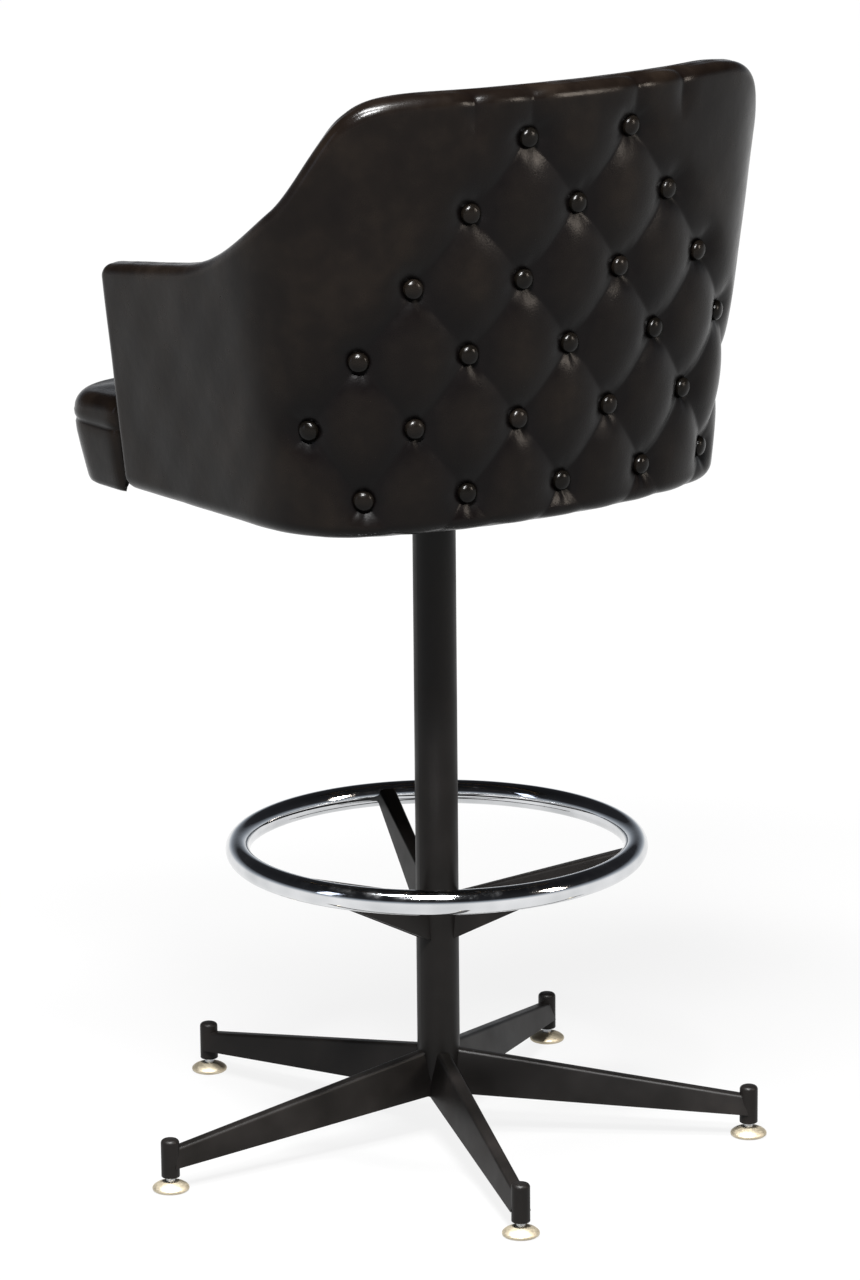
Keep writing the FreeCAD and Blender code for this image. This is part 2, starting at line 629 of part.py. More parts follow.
def quad(first, second, third, fourth):
    """Two flat triangles between four corners, split along the shorter diagonal."""
    corners = [first, second, third, fourth]
    if (second - fourth).Length < (first - third).Length:
        corners = corners[1:] + corners[:1]
    halves = (corners[0], corners[1], corners[2]), (corners[0], corners[2], corners[3])
    return [Part.Face(Part.makePolygon(half + half[:1])) for half in halves]


def triangle(first, second, third):
    return Part.Face(Part.makePolygon([first, second, third, first]))


def skin_between(lower, upper, right, left):
    """Triangles between a lower and an upper line, walked from left to right. The end columns
    also take the points that the right and left borders have between their corners."""
    faces, i, j = [], 1, 1
    last_lower, last_upper = len(lower) - 2, len(upper) - 2
    while i < last_lower or j < last_upper:
        ahead = i / last_lower if last_lower else 1
        behind = j / last_upper if last_upper else 1
        if j == last_upper or (i < last_lower and ahead <= behind):
            faces.append(triangle(lower[i], lower[i + 1], upper[j]))
            i += 1
        else:
            faces.append(triangle(lower[i], upper[j + 1], upper[j]))
            j += 1
    for low, high, low_corner, high_corner, side in (
            (lower[1], upper[1], lower[0], upper[0], left),
            (lower[-2], upper[-2], lower[-1], upper[-1], right)):
        chain = [low_corner] + side + [high_corner]
        half = len(chain) // 2
        for n in range(half):
            faces.append(triangle(low, chain[n], chain[n + 1]))
        faces.append(triangle(low, chain[half], high))
        for n in range(half, len(chain) - 1):
            faces.append(triangle(high, chain[n], chain[n + 1]))
    return faces


def sewn_solid(faces, label):
    shell = Part.makeShell(faces)
    shell.sewShape()
    if shell.ShapeType != "Shell":
        shell = shell.Shells[0]
    if not shell.isClosed():
        raise RuntimeError(label + " isn't closed")
    solid = Part.makeSolid(shell)
    if solid.Volume < 0:
        solid.reverse()
    return solid


# Outer cover: diamond tufting over the back, fading out towards the arms, rolled over the rim
SIDE_STEPS = 5


def row_height(row):
    return dim("top_row_height") - (row - 1) * dim("row_step")


def button_place(column, row):
    return column * dim("button_pitch") / 2, row_height(row)


def halfway(first, second):
    return tuple((a + b) / 2 for a, b in zip(first, second))


def crease(first, last, sink):
    """Three places with levels along a crease between two places that have levels."""
    middle = halfway(first, last)
    return [first, (middle[0], middle[1], -sink), last]


def tufted_cells():
    """Diamonds between four buttons, and the quads that join them to the rim and the bottom."""
    sink, low = dim("button_sink"), dim("bucket_bottom")
    cells = []
    for row, columns in BUTTON_ROWS.items():
        for column in columns:
            spots = [(column, row), (column + 1, row + 1), (column, row + 2), (column - 1, row + 1)]
            if all(c in BUTTON_ROWS.get(r, ()) for c, r in spots):
                top, right, bottom, left = [button_place(c, r) + (-sink,) for c, r in spots]
                first = crease(top, right, dim("crease_sink"))
                last = crease(left, bottom, dim("crease_sink"))
                middle = crease(halfway(top, left), halfway(right, bottom), 0)
                middle = [middle[0][:2] + (-dim("crease_sink"),), middle[1],
                          middle[2][:2] + (-dim("crease_sink"),)]
                cells.append([first, middle, last])
    shoulder = dim("back_height") - dim("rim_roll")
    pleat = (sink + dim("pleat_sink")) / 2
    for side in (-1, 1):
        button = button_place(side, 1) + (-sink,)
        centre = button_place(0, 2) + (-sink,)
        over_button = (button[0], shoulder, -dim("pleat_sink"))
        over_centre = (0.0, shoulder, 0.0)
        lower = crease(button, centre, dim("crease_sink"))
        upper = crease(over_button, over_centre, 0)
        swell = (-dim("top_swell_sink"),)
        middle = [halfway(button, over_button)[:2] + (-pleat,),
                  halfway(lower[1], upper[1])[:2] + swell, halfway(centre, over_centre)[:2] + swell]
        cells.append([lower, middle, upper])
    for column in range(-4, 4):
        ends = []
        for c in (column, column + 1):
            row = 6 if c % 2 == 0 else 5
            start = button_place(c, row) + (-sink,)
            end = (start[0], low, -dim("bottom_tuck"))
            middle_level = -dim("bottom_pleat_sink") if row == 6 else -dim("pleat_sink")
            ends.append([start, halfway(start, end)[:2] + (middle_level,), end])
        upper = crease(ends[0][0], ends[1][0], dim("crease_sink"))
        lower = crease(ends[0][2], ends[1][2], dim("bottom_tuck"))
        swell = (-dim("bottom_swell_sink"),)
        middle = [ends[0][1], halfway(upper[1], lower[1])[:2] + swell, ends[1][1]]
        cells.append([upper, middle, lower])
    return cells


def rolled_row(shoulder_line):
    """A row of the roll: from the shoulder line up and over to the rim."""
    rows = [shoulder_line]
    for lift, roll in ((0.25, dim("rim_bulge")), (0.0, dim("rim_lip"))):
        row = []
        for along, height, level in shoulder_line:
            pleat = level / 2 if lift else 0.0
            row.append((along, rim_top(along) - lift * dim("rim_roll"), max(pleat - roll,
                                                                           -dim("rim_lip"))))
        rows.append(row)
    return rows


def shoulder_at(along):
    return rim_top(along) - dim("rim_roll")


def top_roll_cells():
    """The roll over the middle of the back, between the pleats from the two top buttons."""
    cells = []
    for side in (-1, 1):
        along = button_place(side, 1)[0]
        cells.append(rolled_row(crease((along, shoulder_at(along), -dim("pleat_sink")),
                                       (0.0, shoulder_at(0), 0.0), 0)))
    return cells


def side_line(start):
    """Places with levels from one place of the tufting's edge to the arm's front, at the same
    share of the height under the shoulder."""
    along0, height0, level0 = start
    low = dim("bucket_bottom")
    share = (height0 - low) / (shoulder_at(along0) - low)
    base = -dim("bottom_tuck") * (share == 0)

    def height_of(along):
        return low + share * (shoulder_at(along) - low)

    end = along0
    for _ in range(20):
        end = arm_end(height_of(end))
    steps = [along0, along0 + dim("tuft_fade") / 2, along0 + dim("tuft_fade")]
    far = end - dim("rim_roll")
    for step in range(1, 2 * SIDE_STEPS + 1):
        steps.append(steps[2] + (far - steps[2]) * step / (2 * SIDE_STEPS))
    steps += [end - dim("rim_roll") / 4, end]
    line = []
    for number, along in enumerate(steps):
        fade = max(0.0, 1 - (along - along0) / dim("tuft_fade")) ** 1.5
        level = base + (level0 - base) * fade
        if number == len(steps) - 2:
            level = min(level, -dim("rim_bulge"))
        if number == len(steps) - 1:
            level = -dim("rim_lip")
        line.append((along, height_of(along), level))
    return line


def side_cells():
    """The cells of one side, between the tufting's edge and the arm's front."""
    sink, low = dim("button_sink"), dim("bucket_bottom")
    edge = [(button_place(1, 1)[0], shoulder_at(button_place(1, 1)[0]), -dim("pleat_sink"))]
    for column, row in ((1, 1), (2, 2), (3, 3), (4, 4), (5, 5), (4, 6)):
        edge.append(button_place(column, row) + (-sink,))
    edge.append((edge[-1][0], low, -dim("bottom_tuck")))
    sinks = [(sink + dim("pleat_sink")) / 2] + 5 * [dim("crease_sink")] + [dim("bottom_pleat_sink")]
    lines = [side_line(edge[0])]
    for first, last, between_sink in zip(edge, edge[1:], sinks):
        lines.append(side_line(crease(first, last, between_sink)[1]))
        lines.append(side_line(last))
    cells = []
    for row in range(0, len(lines) - 1, 2):
        for column in range(0, len(lines[0]) - 1, 2):
            cells.append([line[column:column + 3] for line in lines[row:row + 3]])
    for column in range(0, len(lines[0]) - 1, 2):
        cells.append(rolled_row(lines[0][column:column + 3]))
    return cells


def grid_points(cell, rows, columns):
    """The cell's outer points on a grid, with their places along and up the bucket."""
    grid = []
    for i in range(rows + 1):
        line = []
        for j in range(columns + 1):
            across = [through_three(*[Vector(*place) for place in row], j / columns)
                      for row in cell]
            line.append(through_three(*across, i / rows))
        grid.append(line)
    return grid


def make_outer_cover():
    """Quilted outside, rolled rim, and a hidden inside that leaves room for the shell."""
    fine = int(dim("quilt_steps"))
    under_skin = -dim("cover_thickness") + dim("chord_room")
    under_cap = shell_levels()[1] + dim("cap_room")
    columns = SIDE_STEPS + 2
    side = side_cells()
    rolls = side[-columns:]
    side_rows = [side[n:n + columns] for n in range(0, len(side) - columns, columns)]
    steps = [fine] * (columns - 3) + [1, 1, fine]
    faces = []

    def mirrored(place):
        return Vector(-place.x, place.y, place.z)

    def add_outer(grid):
        for flip in (False, True):
            points = [[bucket_point(*(mirrored(p) if flip else p)) for p in row] for row in grid]
            for i in range(len(points) - 1):
                for j in range(len(points[0]) - 1):
                    faces.extend(quad(points[i][j], points[i][j + 1], points[i + 1][j + 1],
                                      points[i + 1][j]))

    bottom, shoulder, rim, seam, front = [], [], [], [], []
    for row_number, row in enumerate(side_rows):
        for number, cell in enumerate(row):
            grid = grid_points(cell, fine, steps[number])
            add_outer(grid)
            if number == columns - 1:
                seam += [line[0] for line in grid][bool(row_number):]
                front += [line[-1] for line in grid][bool(row_number):]
            if row_number == len(side_rows) - 1:
                bottom += grid[-1][bool(number):]
    for number, cell in enumerate(rolls):
        grid = grid_points(cell, fine, steps[number])
        add_outer(grid)
        shoulder += grid[0][bool(number):]
        rim += grid[-1][bool(number):]
        if number == columns - 1:
            front = [line[-1] for line in grid][:0:-1] + front
    centre_bottom, centre_top = [], []
    for cell in tufted_cells():
        grid = grid_points(cell, fine, fine)
        points = [[bucket_point(*p) for p in row] for row in grid]
        for i in range(fine):
            for j in range(fine):
                faces += quad(points[i][j], points[i][j + 1], points[i + 1][j + 1],
                              points[i + 1][j])
        foot_height = max(place[1] for place in cell[2])
        if foot_height - dim("bucket_bottom") < 0.001 and min(p.x for p in grid[-1]) > -0.001:
            centre_bottom.append(grid[-1])
    for cell in top_roll_cells():
        grid = grid_points(cell, fine, fine)
        points = [[bucket_point(*p) for p in row] for row in grid]
        for i in range(fine):
            for j in range(fine):
                faces += quad(points[i][j], points[i][j + 1], points[i + 1][j + 1],
                              points[i + 1][j])
        if cell[0][0][0] > 0:
            centre_top.append((grid[0][::-1], grid[-1][::-1]))
    centre_bottom.sort(key=lambda line: min(p.x for p in line))
    start = []
    for line in centre_bottom:
        ordered = sorted(line, key=lambda p: p.x)
        start += ordered[bool(start):]
    bottom = start + bottom[1:]
    shoulder = centre_top[0][0] + shoulder[1:]
    rim = centre_top[0][1] + rim[1:]
    split = len(bottom) - 1 - steps[-1]
    split_top = len(shoulder) - 1 - steps[-1]

    def whole(line):
        """A run from the middle to the right, with its mirror image in front of it."""
        return [mirrored(p) for p in line[:0:-1]] + line

    def at_level(line, level):
        return [bucket_point(p.x, p.y, level) for p in line]

    def outside(line):
        return [bucket_point(*p) for p in line]

    def strip(first, second):
        for n in range(len(first) - 1):
            faces.extend(quad(first[n], first[n + 1], second[n + 1], second[n]))

    inner_bottom, inner_top = whole(bottom[:split + 1]), whole(shoulder[:split_top + 1])
    between_seams = seam[1:-1][::-1]
    faces.extend(skin_between(at_level(inner_bottom, under_skin), at_level(inner_top, under_skin),
                              at_level(between_seams, under_skin),
                              at_level([mirrored(p) for p in between_seams], under_skin)))
    strip(outside(inner_bottom), at_level(inner_bottom, under_skin))
    strip(at_level(inner_top, under_skin), at_level(inner_top, under_cap))
    edge = rim + front[1:]
    for flip in (False, True):
        def turned(line):
            return [mirrored(p) for p in line] if flip else line

        strip(at_level(turned(seam), under_skin), at_level(turned(seam), under_cap))
        foot = turned(bottom[split:])
        strip(outside(foot), at_level(foot, under_cap))
        inner_seam, outer_front = at_level(turned(seam), under_cap), turned(front)
        outer_cap = at_level(outer_front, under_cap)
        top_part = len(front) - len(seam)
        for n in range(len(seam) - 1):
            faces.extend(quad(inner_seam[n], inner_seam[n + 1], outer_cap[top_part + n + 1],
                              outer_cap[top_part + n]))
        corner = at_level(turned(rim[len(rim) - 1 - steps[-1]:] + front[1:top_part + 1]), under_cap)
        for n in range(len(corner) - 1):
            faces.append(triangle(inner_seam[0], corner[n], corner[n + 1]))
        strip(outside(turned(front)), outer_cap)
    rim_inner = whole(rim[:len(rim) - steps[-1]])
    strip(at_level(inner_top, under_cap), at_level(rim_inner, under_cap))
    strip(outside(whole(rim)), at_level(whole(rim), under_cap))
    plain_feature("outer_cover", sewn_solid(faces, "outer_cover"))


# Inner pad: smooth padding on the shell's inside, fuller over the lumbar height
def pad_thickness_at(along, height):
    """Thickness of the pad: even, with a swell in the middle of the back above the cushion."""
    rise = (height - dim("lumbar_start")) / (dim("back_height") - dim("lumbar_start"))
    across = abs(along) / dim("lumbar_width")
    swell = 0.0
    if 0 < rise < 1 and across < 1:
        swell = dim("lumbar_swell") * math.sin(math.pi * rise) * math.cos(math.pi / 2 * across) ** 2
    return dim("pad_thickness") + swell


def band(shares, bottom, rim_drop, outer_level, inner_level, label):
    """A layer that follows the bucket: rows by their share of the height, columns by their
    share of the outline's length, both skins on the same columns."""
    count = int(dim("band_columns"))
    outer_rows, inner_rows = [], []
    for share in shares:
        outer, inner = [], []
        for number in range(-count, count + 1):
            part, height = abs(number) / count, bottom
            for _ in range(20):
                along = part * (arm_end(height) - dim("band_front_gap"))
                height = bottom + share * (rim_top(along) - rim_drop - bottom)
            along = math.copysign(along, number)
            outer.append(bucket_point(along, height, outer_level))
            inner.append(bucket_point(along, height, inner_level(along, height, share)))
        outer_rows.append(outer)
        inner_rows.append(inner)
    faces = []
    rows, columns = len(shares) - 1, 2 * count
    for i in range(rows):
        for j in range(columns):
            faces += quad(inner_rows[i][j], inner_rows[i][j + 1], inner_rows[i + 1][j + 1],
                          inner_rows[i + 1][j])
    left = [row[0] for row in outer_rows[1:-1]]
    right = [row[-1] for row in outer_rows[1:-1]]
    faces += skin_between(outer_rows[0], outer_rows[-1], right, left)
    for j in range(columns):
        for i in (0, rows):
            faces += quad(outer_rows[i][j], outer_rows[i][j + 1], inner_rows[i][j + 1],
                          inner_rows[i][j])
    for i in range(rows):
        for j in (0, columns):
            faces += quad(outer_rows[i][j], outer_rows[i + 1][j], inner_rows[i + 1][j],
                          inner_rows[i][j])
    return sewn_solid(faces, label)


# Bent plywood shell that the upholstery is built on, dowelled to the board's edge
def make_shell():
    outer, inner = shell_levels()
    shell = band([0.0, 0.5, 1.0], plate_top(), dim("rim_roll") + dim("shell_rim_gap"), outer,
                 lambda along, height, share: inner, "seat_shell")
    plain_feature("seat_shell", shell.cut([dowel_shape(frame, dim("dowel_gap"))
                                           for frame in dowel_frames()]))
    plain_feature("shell_dowels", Part.makeCompound([dowel_shape(frame, 0.0)
                                                     for frame in dowel_frames()]))


def make_inner_pad():
    low = plate_top() + dim("board_thickness") + dim("layer_gap")
    start = shell_levels()[1] - dim("pad_gap")

    def inner_level(along, height, share):
        edge = dim("pad_edge") if share == 1.0 else 0.0
        return start - pad_thickness_at(along, height) + edge

    pad_solid = band([0.0, 0.2, 0.35, 0.5, 0.65, 0.8, 0.96, 1.0], low, 0.0, start, inner_level,
                     "inner_pad")
    plain_feature("inner_pad", pad_solid)


# Upholstery buttons, each with a cone back that sits in its pit of the tufting
def make_buttons():
    rim = dim("button_gap") + dim("button_back")
    radius, crown = dim("button_dia") / 2, rim + dim("button_dome")
    shape = many_sided([(0, dim("button_gap")), (radius, rim),
                        (0.66 * radius, crown - 0.22 * dim("button_dome")), (0, crown)],
                       int(dim("button_sides")))
    cover_faces = [(face.BoundBox.Center, face)
                   for face in doc.getObject("outer_cover").Shape.Faces]
    buttons = []
    for row, columns in BUTTON_ROWS.items():
        for column in columns:
            along, height = button_place(column, row)
            pit = bucket_point(along, height, -dim("button_sink"))
            outward = bucket_point(along, height, 1 - dim("button_sink")) - pit
            lower = bucket_point(along, height - 1, -dim("button_sink"))
            upper = bucket_point(along, height + 1, -dim("button_sink"))
            sideways = outward.cross(upper - lower).normalize()
            outward = (upper - lower).cross(sideways).normalize()
            skin = Part.makeCompound([face for middle, face in cover_faces
                                      if middle.distanceToPoint(pit) < dim("button_pitch") / 3])
            button = shape.copy()
            turned = FreeCAD.Rotation(Vector(0, 0, 1), outward)
            spot = Vector(pit)
            for _ in range(5):
                button.Placement = FreeCAD.Placement(spot, turned)
                spot = spot - outward * (button.distToShape(skin)[0] - dim("layer_gap"))
            buttons.append(button)
    plain_feature("tuft_buttons", Part.makeCompound(buttons))


# Seat cushion: a T shape whose nose runs across in front of both arms
def cushion_outline(height):
    """Corners of the cushion's outline at a height, from the middle of its front round."""
    level = shell_levels()[1] - dim("pad_gap") - dim("pad_thickness") - dim("cushion_side_gap")
    corner = dim("nose_corner_rad")
    wide = dim("half_width") * outline_at(height)[0] - dim("nose_inset")
    drawn = max(0.0, dim("nose_widest") - height) / (dim("nose_widest") - dim("nose_bottom"))
    front = -dim("nose_reach") + dim("nose_draw") * drawn
    rear = -dim("arm_front") - dim("nose_gap")
    points = [Vector((wide - corner) * step / 3, front, height) for step in range(3)]
    for step in range(6):
        turn = math.pi / 2 * step / 5
        points.append(Vector(wide - corner + corner * math.sin(turn),
                             front + corner - corner * math.cos(turn), height))
    points.append(Vector(wide, (front + corner + rear) / 2, height))
    points.append(Vector(wide, rear, height))
    arm = bucket_point(arm_end(height), height, level)
    points.append(Vector(arm.x, rear, height))
    steps = int(dim("cushion_steps"))
    for step in range(steps):
        along = (arm_end(height) - dim("cushion_arm_gap")) * (1 - step / steps)
        points.append(bucket_point(along, height, level))
    points.append(bucket_point(0, height, level))
    mirrored = [Vector(-point.x, point.y, height) for point in points[-2:0:-1]]
    return points + mirrored


def make_cushion():
    low = plate_top() + dim("board_thickness") + dim("cushion_gap")
    middle = Vector(0, -dim("cushion_middle_reach"), 0)
    edge, crown = dim("cushion_edge_rad"), dim("crown_rad")

    def crown_height(point):
        across = math.hypot(point.x, point.y + dim("cushion_back_reach"))
        return dim("cushion_crown") - across ** 2 / (2 * crown)

    rings = [cushion_outline(dim("nose_bottom")), cushion_outline(dim("nose_widest"))]
    top = cushion_outline(dim("cushion_crown") - 2 * edge)
    for step in range(int(dim("cushion_edge_steps")) + 1):
        turn = math.pi / 2 * step / dim("cushion_edge_steps")
        inward, rise = edge * (1 - math.cos(turn)), edge * math.sin(turn)
        ring = []
        for point in top:
            away = Vector(point.x, point.y, 0) - middle
            spot = middle + away * (1 - inward / away.Length)
            ring.append(Vector(spot.x, spot.y, crown_height(spot) - edge + rise))
        rings.append(ring)
    for share in (0.75, 0.45, 0.2):
        ring = []
        for point in rings[2 + int(dim("cushion_edge_steps"))]:
            spot = middle + (Vector(point.x, point.y, 0) - middle) * share
            ring.append(Vector(spot.x, spot.y, crown_height(spot)))
        rings.append(ring)
    faces = []
    count = len(rings[0])
    for lower, upper in zip(rings, rings[1:]):
        for n in range(count):
            after = (n + 1) % count
            faces += quad(lower[n], lower[after], upper[after], upper[n])
    top_middle = Vector(middle.x, middle.y, crown_height(middle))
    last = rings[-1]
    for n in range(count):
        fan = [last[n], last[(n + 1) % count], top_middle, last[n]]
        faces.append(Part.Face(Part.makePolygon(fan)))
    faces.append(Part.Face(Part.makePolygon(rings[0] + rings[0][:1])))
    cushion = sewn_solid(faces, "seat_cushion")
    board_room = upright(
        seat_wire(dim("nose_bottom") - 1, shell_levels()[1], -dim("board_front") - dim("nose_gap"),
                  dim("board_corner_rad")), low - dim("nose_bottom") + 1)
    plain_feature("seat_cushion", cushion.cut(board_room))


def build():
    make_column()
    make_legs()
    make_sockets()
    make_glides()
    make_footrest()
    make_swivel()
    make_board()
    make_bolts()
    make_shell()
    make_dust_cover()
    make_outer_cover()
    make_inner_pad()
    make_buttons()
    make_cushion()
    doc.recompute()


def write_parts():
    """Check every piece and write it, each under its own label."""
    for piece in doc.Objects:
        state = " ".join(piece.State)
        if "Invalid" in state or "Error" in state:
            raise RuntimeError("%s is %s" % (piece.Label, state))
    pieces = [o for o in doc.Objects if o.TypeId in ("PartDesign::Body", "Part::Feature", "Part::Torus")]
    for piece in pieces:
        shape = piece.Shape
        if shape.isNull() or not shape.isValid() or not shape.Solids:
            raise RuntimeError(piece.Label + " has no valid solid")
        shape.exportStep("parts/%s.step" % piece.Label)
        print(piece.Label, len(shape.Solids), round(shape.Volume))


build()
write_parts()
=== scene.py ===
# %% [markdown]
# # A swivel bar stool, seen from behind
# The real one has a bucket seat in dark brown upholstery vinyl, diamond tufted over its back,
# on a black pedestal with a chromed foot ring and levelling glides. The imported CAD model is
# loaded as a fixed frame. It gives every piece its place, and the cells below dress it.

import math

import bmesh
import bpy
import numpy as np
from mathutils import Matrix, Vector


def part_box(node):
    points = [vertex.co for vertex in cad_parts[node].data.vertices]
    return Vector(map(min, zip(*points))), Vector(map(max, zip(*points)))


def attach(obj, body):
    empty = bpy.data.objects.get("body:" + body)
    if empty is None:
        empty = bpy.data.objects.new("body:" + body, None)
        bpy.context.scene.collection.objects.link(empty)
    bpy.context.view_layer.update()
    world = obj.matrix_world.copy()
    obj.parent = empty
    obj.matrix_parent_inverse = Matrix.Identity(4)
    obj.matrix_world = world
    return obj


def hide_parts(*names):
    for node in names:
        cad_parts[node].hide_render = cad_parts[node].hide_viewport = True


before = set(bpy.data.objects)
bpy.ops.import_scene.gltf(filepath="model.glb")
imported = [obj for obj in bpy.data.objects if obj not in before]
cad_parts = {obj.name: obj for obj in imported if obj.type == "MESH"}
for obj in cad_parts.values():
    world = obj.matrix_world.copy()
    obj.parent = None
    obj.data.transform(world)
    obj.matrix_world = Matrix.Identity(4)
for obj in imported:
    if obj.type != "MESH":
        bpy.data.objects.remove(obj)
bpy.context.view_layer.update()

# %% [markdown]
# ## Two kinds of helper
# Every new piece here is a surface: numpy works out a grid of points, and one function turns
# the grid into a mesh. Every finish is a node tree, and one function adds a node to it with its
# settings and its links. Working in millimetres keeps the numbers those of the workshop.
# Blender's own shapes and ready-made materials could stand in for some, but none is a tufted
# bucket or an embossed vinyl, and one way for all of them is easier to follow.

# %% Faces from grids
def grid_faces(rows, columns, close_rows=False, close_columns=False):
    """Quads over a grid of rows by columns points, the last joined to the first where asked."""
    i = np.arange(rows if close_rows else rows - 1)
    j = np.arange(columns if close_columns else columns - 1)
    i, j = [a.ravel() for a in np.meshgrid(i, j, indexing="ij")]
    below, beside = (i + 1) % rows, (j + 1) % columns
    return np.stack([i * columns + j, i * columns + beside,
                     below * columns + beside, below * columns + j], axis=1)


def split_quads(quads, guide):
    """Triangles: each quad is split from the pair of corners with the smaller guide sum."""
    a, b, c, d = quads.T
    along_ac = guide[a] + guide[c] < guide[b] + guide[d]
    first = np.where(along_ac[:, None], np.stack([a, b, c], 1), np.stack([a, b, d], 1))
    second = np.where(along_ac[:, None], np.stack([a, c, d], 1), np.stack([b, c, d], 1))
    return np.concatenate([first, second])


def repeat_faces(faces, points_each, times):
    """The faces of one shape, and the same faces again for each further copy of its points."""
    return (faces[None] + points_each * np.arange(times)[:, None, None]).reshape(-1, 4)


# %% Pieces from points
MM, WELD_M = 0.001, 1e-6


def new_piece(name, points, faces, material, body, uv=None, fold=None):
    """A smooth mesh object from points in millimetres. It is welded at seams and poles, which
    keeps one point where several fall together, and its faces are turned to point outwards.
    UV is the place on the sheet laid flat. Fold is a number at each point that the vinyl
    reads for painted shade and a duller shine in the folds: 0 on a crown and up to 1 down in a
    fold."""
    mesh = bpy.data.meshes.new(name)
    mesh.from_pydata((np.asarray(points) * MM).tolist(), [], np.asarray(faces).tolist())
    if fold is not None:
        layer = mesh.attributes.new("fold", "FLOAT", "POINT")
        layer.data.foreach_set("value", np.asarray(fold, np.float32).ravel())
    if uv is not None:
        corner = np.zeros(len(mesh.loops), int)
        mesh.loops.foreach_get("vertex_index", corner)
        layer = mesh.uv_layers.new(name="panel")
        layer.data.foreach_set("uv", (uv[corner] * MM).astype(np.float32).ravel())
    work = bmesh.new()
    work.from_mesh(mesh)
    bmesh.ops.remove_doubles(work, verts=work.verts, dist=WELD_M)
    bmesh.ops.recalc_face_normals(work, faces=work.faces)
    work.to_mesh(mesh)
    work.free()
    mesh.polygons.foreach_set("use_smooth", np.ones(len(mesh.polygons), bool))
    mesh.materials.append(material)
    piece = bpy.data.objects.new(name, mesh)
    bpy.context.scene.collection.objects.link(piece)
    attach(piece, body)
    print(name, "has", len(mesh.vertices), "points and", len(mesh.polygons), "faces")
    return piece


def crisp_folds(piece, degrees):
    """Keep the edges crisp at which the faces turn by more than an angle."""
    piece.data.set_sharp_from_angle(angle=math.radians(degrees))


def compare_boxes(node, points):
    """Print the box of a CAD node and that of the new piece, in millimetres."""
    corners = [round(v / MM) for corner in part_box(node) for v in corner]
    print(node, "CAD box:", corners, "new box:", points.min(0).round(), points.max(0).round())


# %% Nodes and links
def linear(hex_colour):
    """An sRGB hex colour as linear red, green, blue and alpha."""
    parts = [int(hex_colour[k:k + 2], 16) / 255 for k in (1, 3, 5)]
    return tuple(p / 12.92 if p <= 0.04045 else ((p + 0.055) / 1.055) ** 2.4
                 for p in parts) + (1.0,)


def join(material, node, place, amount):
    """Set one input of a node to an amount, or link it to another node or to one of its
    outputs. Of a node the first output is taken."""
    if isinstance(amount, bpy.types.Node):
        amount = amount.outputs[0]
    if isinstance(amount, bpy.types.NodeSocket):
        material.node_tree.links.new(amount, node.inputs[place])
    else:
        node.inputs[place].default_value = amount


def add(material, kind, settings=None, **inputs):
    """Add one node. Settings are its own properties, and stops are the places and the hex
    colours of a ramp. Each input takes what join takes, and an input's place may be given as
    _0, _1 and so on."""
    node = material.node_tree.nodes.new("ShaderNode" + kind)
    settings = dict(settings or {})
    stops = settings.pop("stops", [])
    while stops and len(node.color_ramp.elements) < len(stops):
        node.color_ramp.elements.new(0.5)
    for k, (place, colour) in enumerate(stops):
        element = node.color_ramp.elements[k]
        element.position, element.color = place, linear(colour)
    for key, amount in settings.items():
        setattr(node, key, amount)
    for key, amount in inputs.items():
        place = int(key[1:]) if key[0] == "_" else key.replace("_", " ")
        join(material, node, place, amount)
    return node


# %% A new finish
def finish(name):
    """A new material whose shader and output are joined: it, its shader, and the Object
    coordinates in metres that its patterns lie in."""
    material = bpy.data.materials.new(name)
    material.use_nodes = True
    material.node_tree.nodes.clear()
    shader = add(material, "BsdfPrincipled")
    add(material, "OutputMaterial", Surface=shader)
    return material, shader, add(material, "TexCoord").outputs["Object"]


def per_metre(millimetres):
    """A pattern's scale: how often a feature of that size fits into a metre."""
    return 1000.0 / millimetres


# %% [markdown]
# ## Upholstery vinyl
# The cover is coated fabric: a soft PVC skin, embossed with a fine leather grain by a roller,
# over a knitted backing. It is nearly black brown. The skin is smooth enough to mirror a soft
# light, and the grain breaks that mirror up. Folds are a little rougher and duller, and their
# colour is darkened with their depth as painted shade, so the crowns look a little lighter. The
# grain is 1.2 mm on the real skin, and it is drawn at 2 mm so that it shows. A photograph of
# leather laid over the mesh could do it too. Layers of noise in the piece's own coordinates are
# used, because they need no file and have no seams.

# %% Vinyl
PEBBLES_PER_M, CREASES_PER_M = 520.0, 900.0
BLOTCH_MM, CLOUD_MM, SLACK_MM = 90.0, 22.0, 30.0
VINYL_ROUGH, FOLD_DULLING, VINYL_SPECULAR = (0.2, 0.28), 0.16, 0.11
GRAIN_DEEP_M, SLACK_DEEP_M, NOISE_ROUGH = 0.0004, 0.0012, 0.55


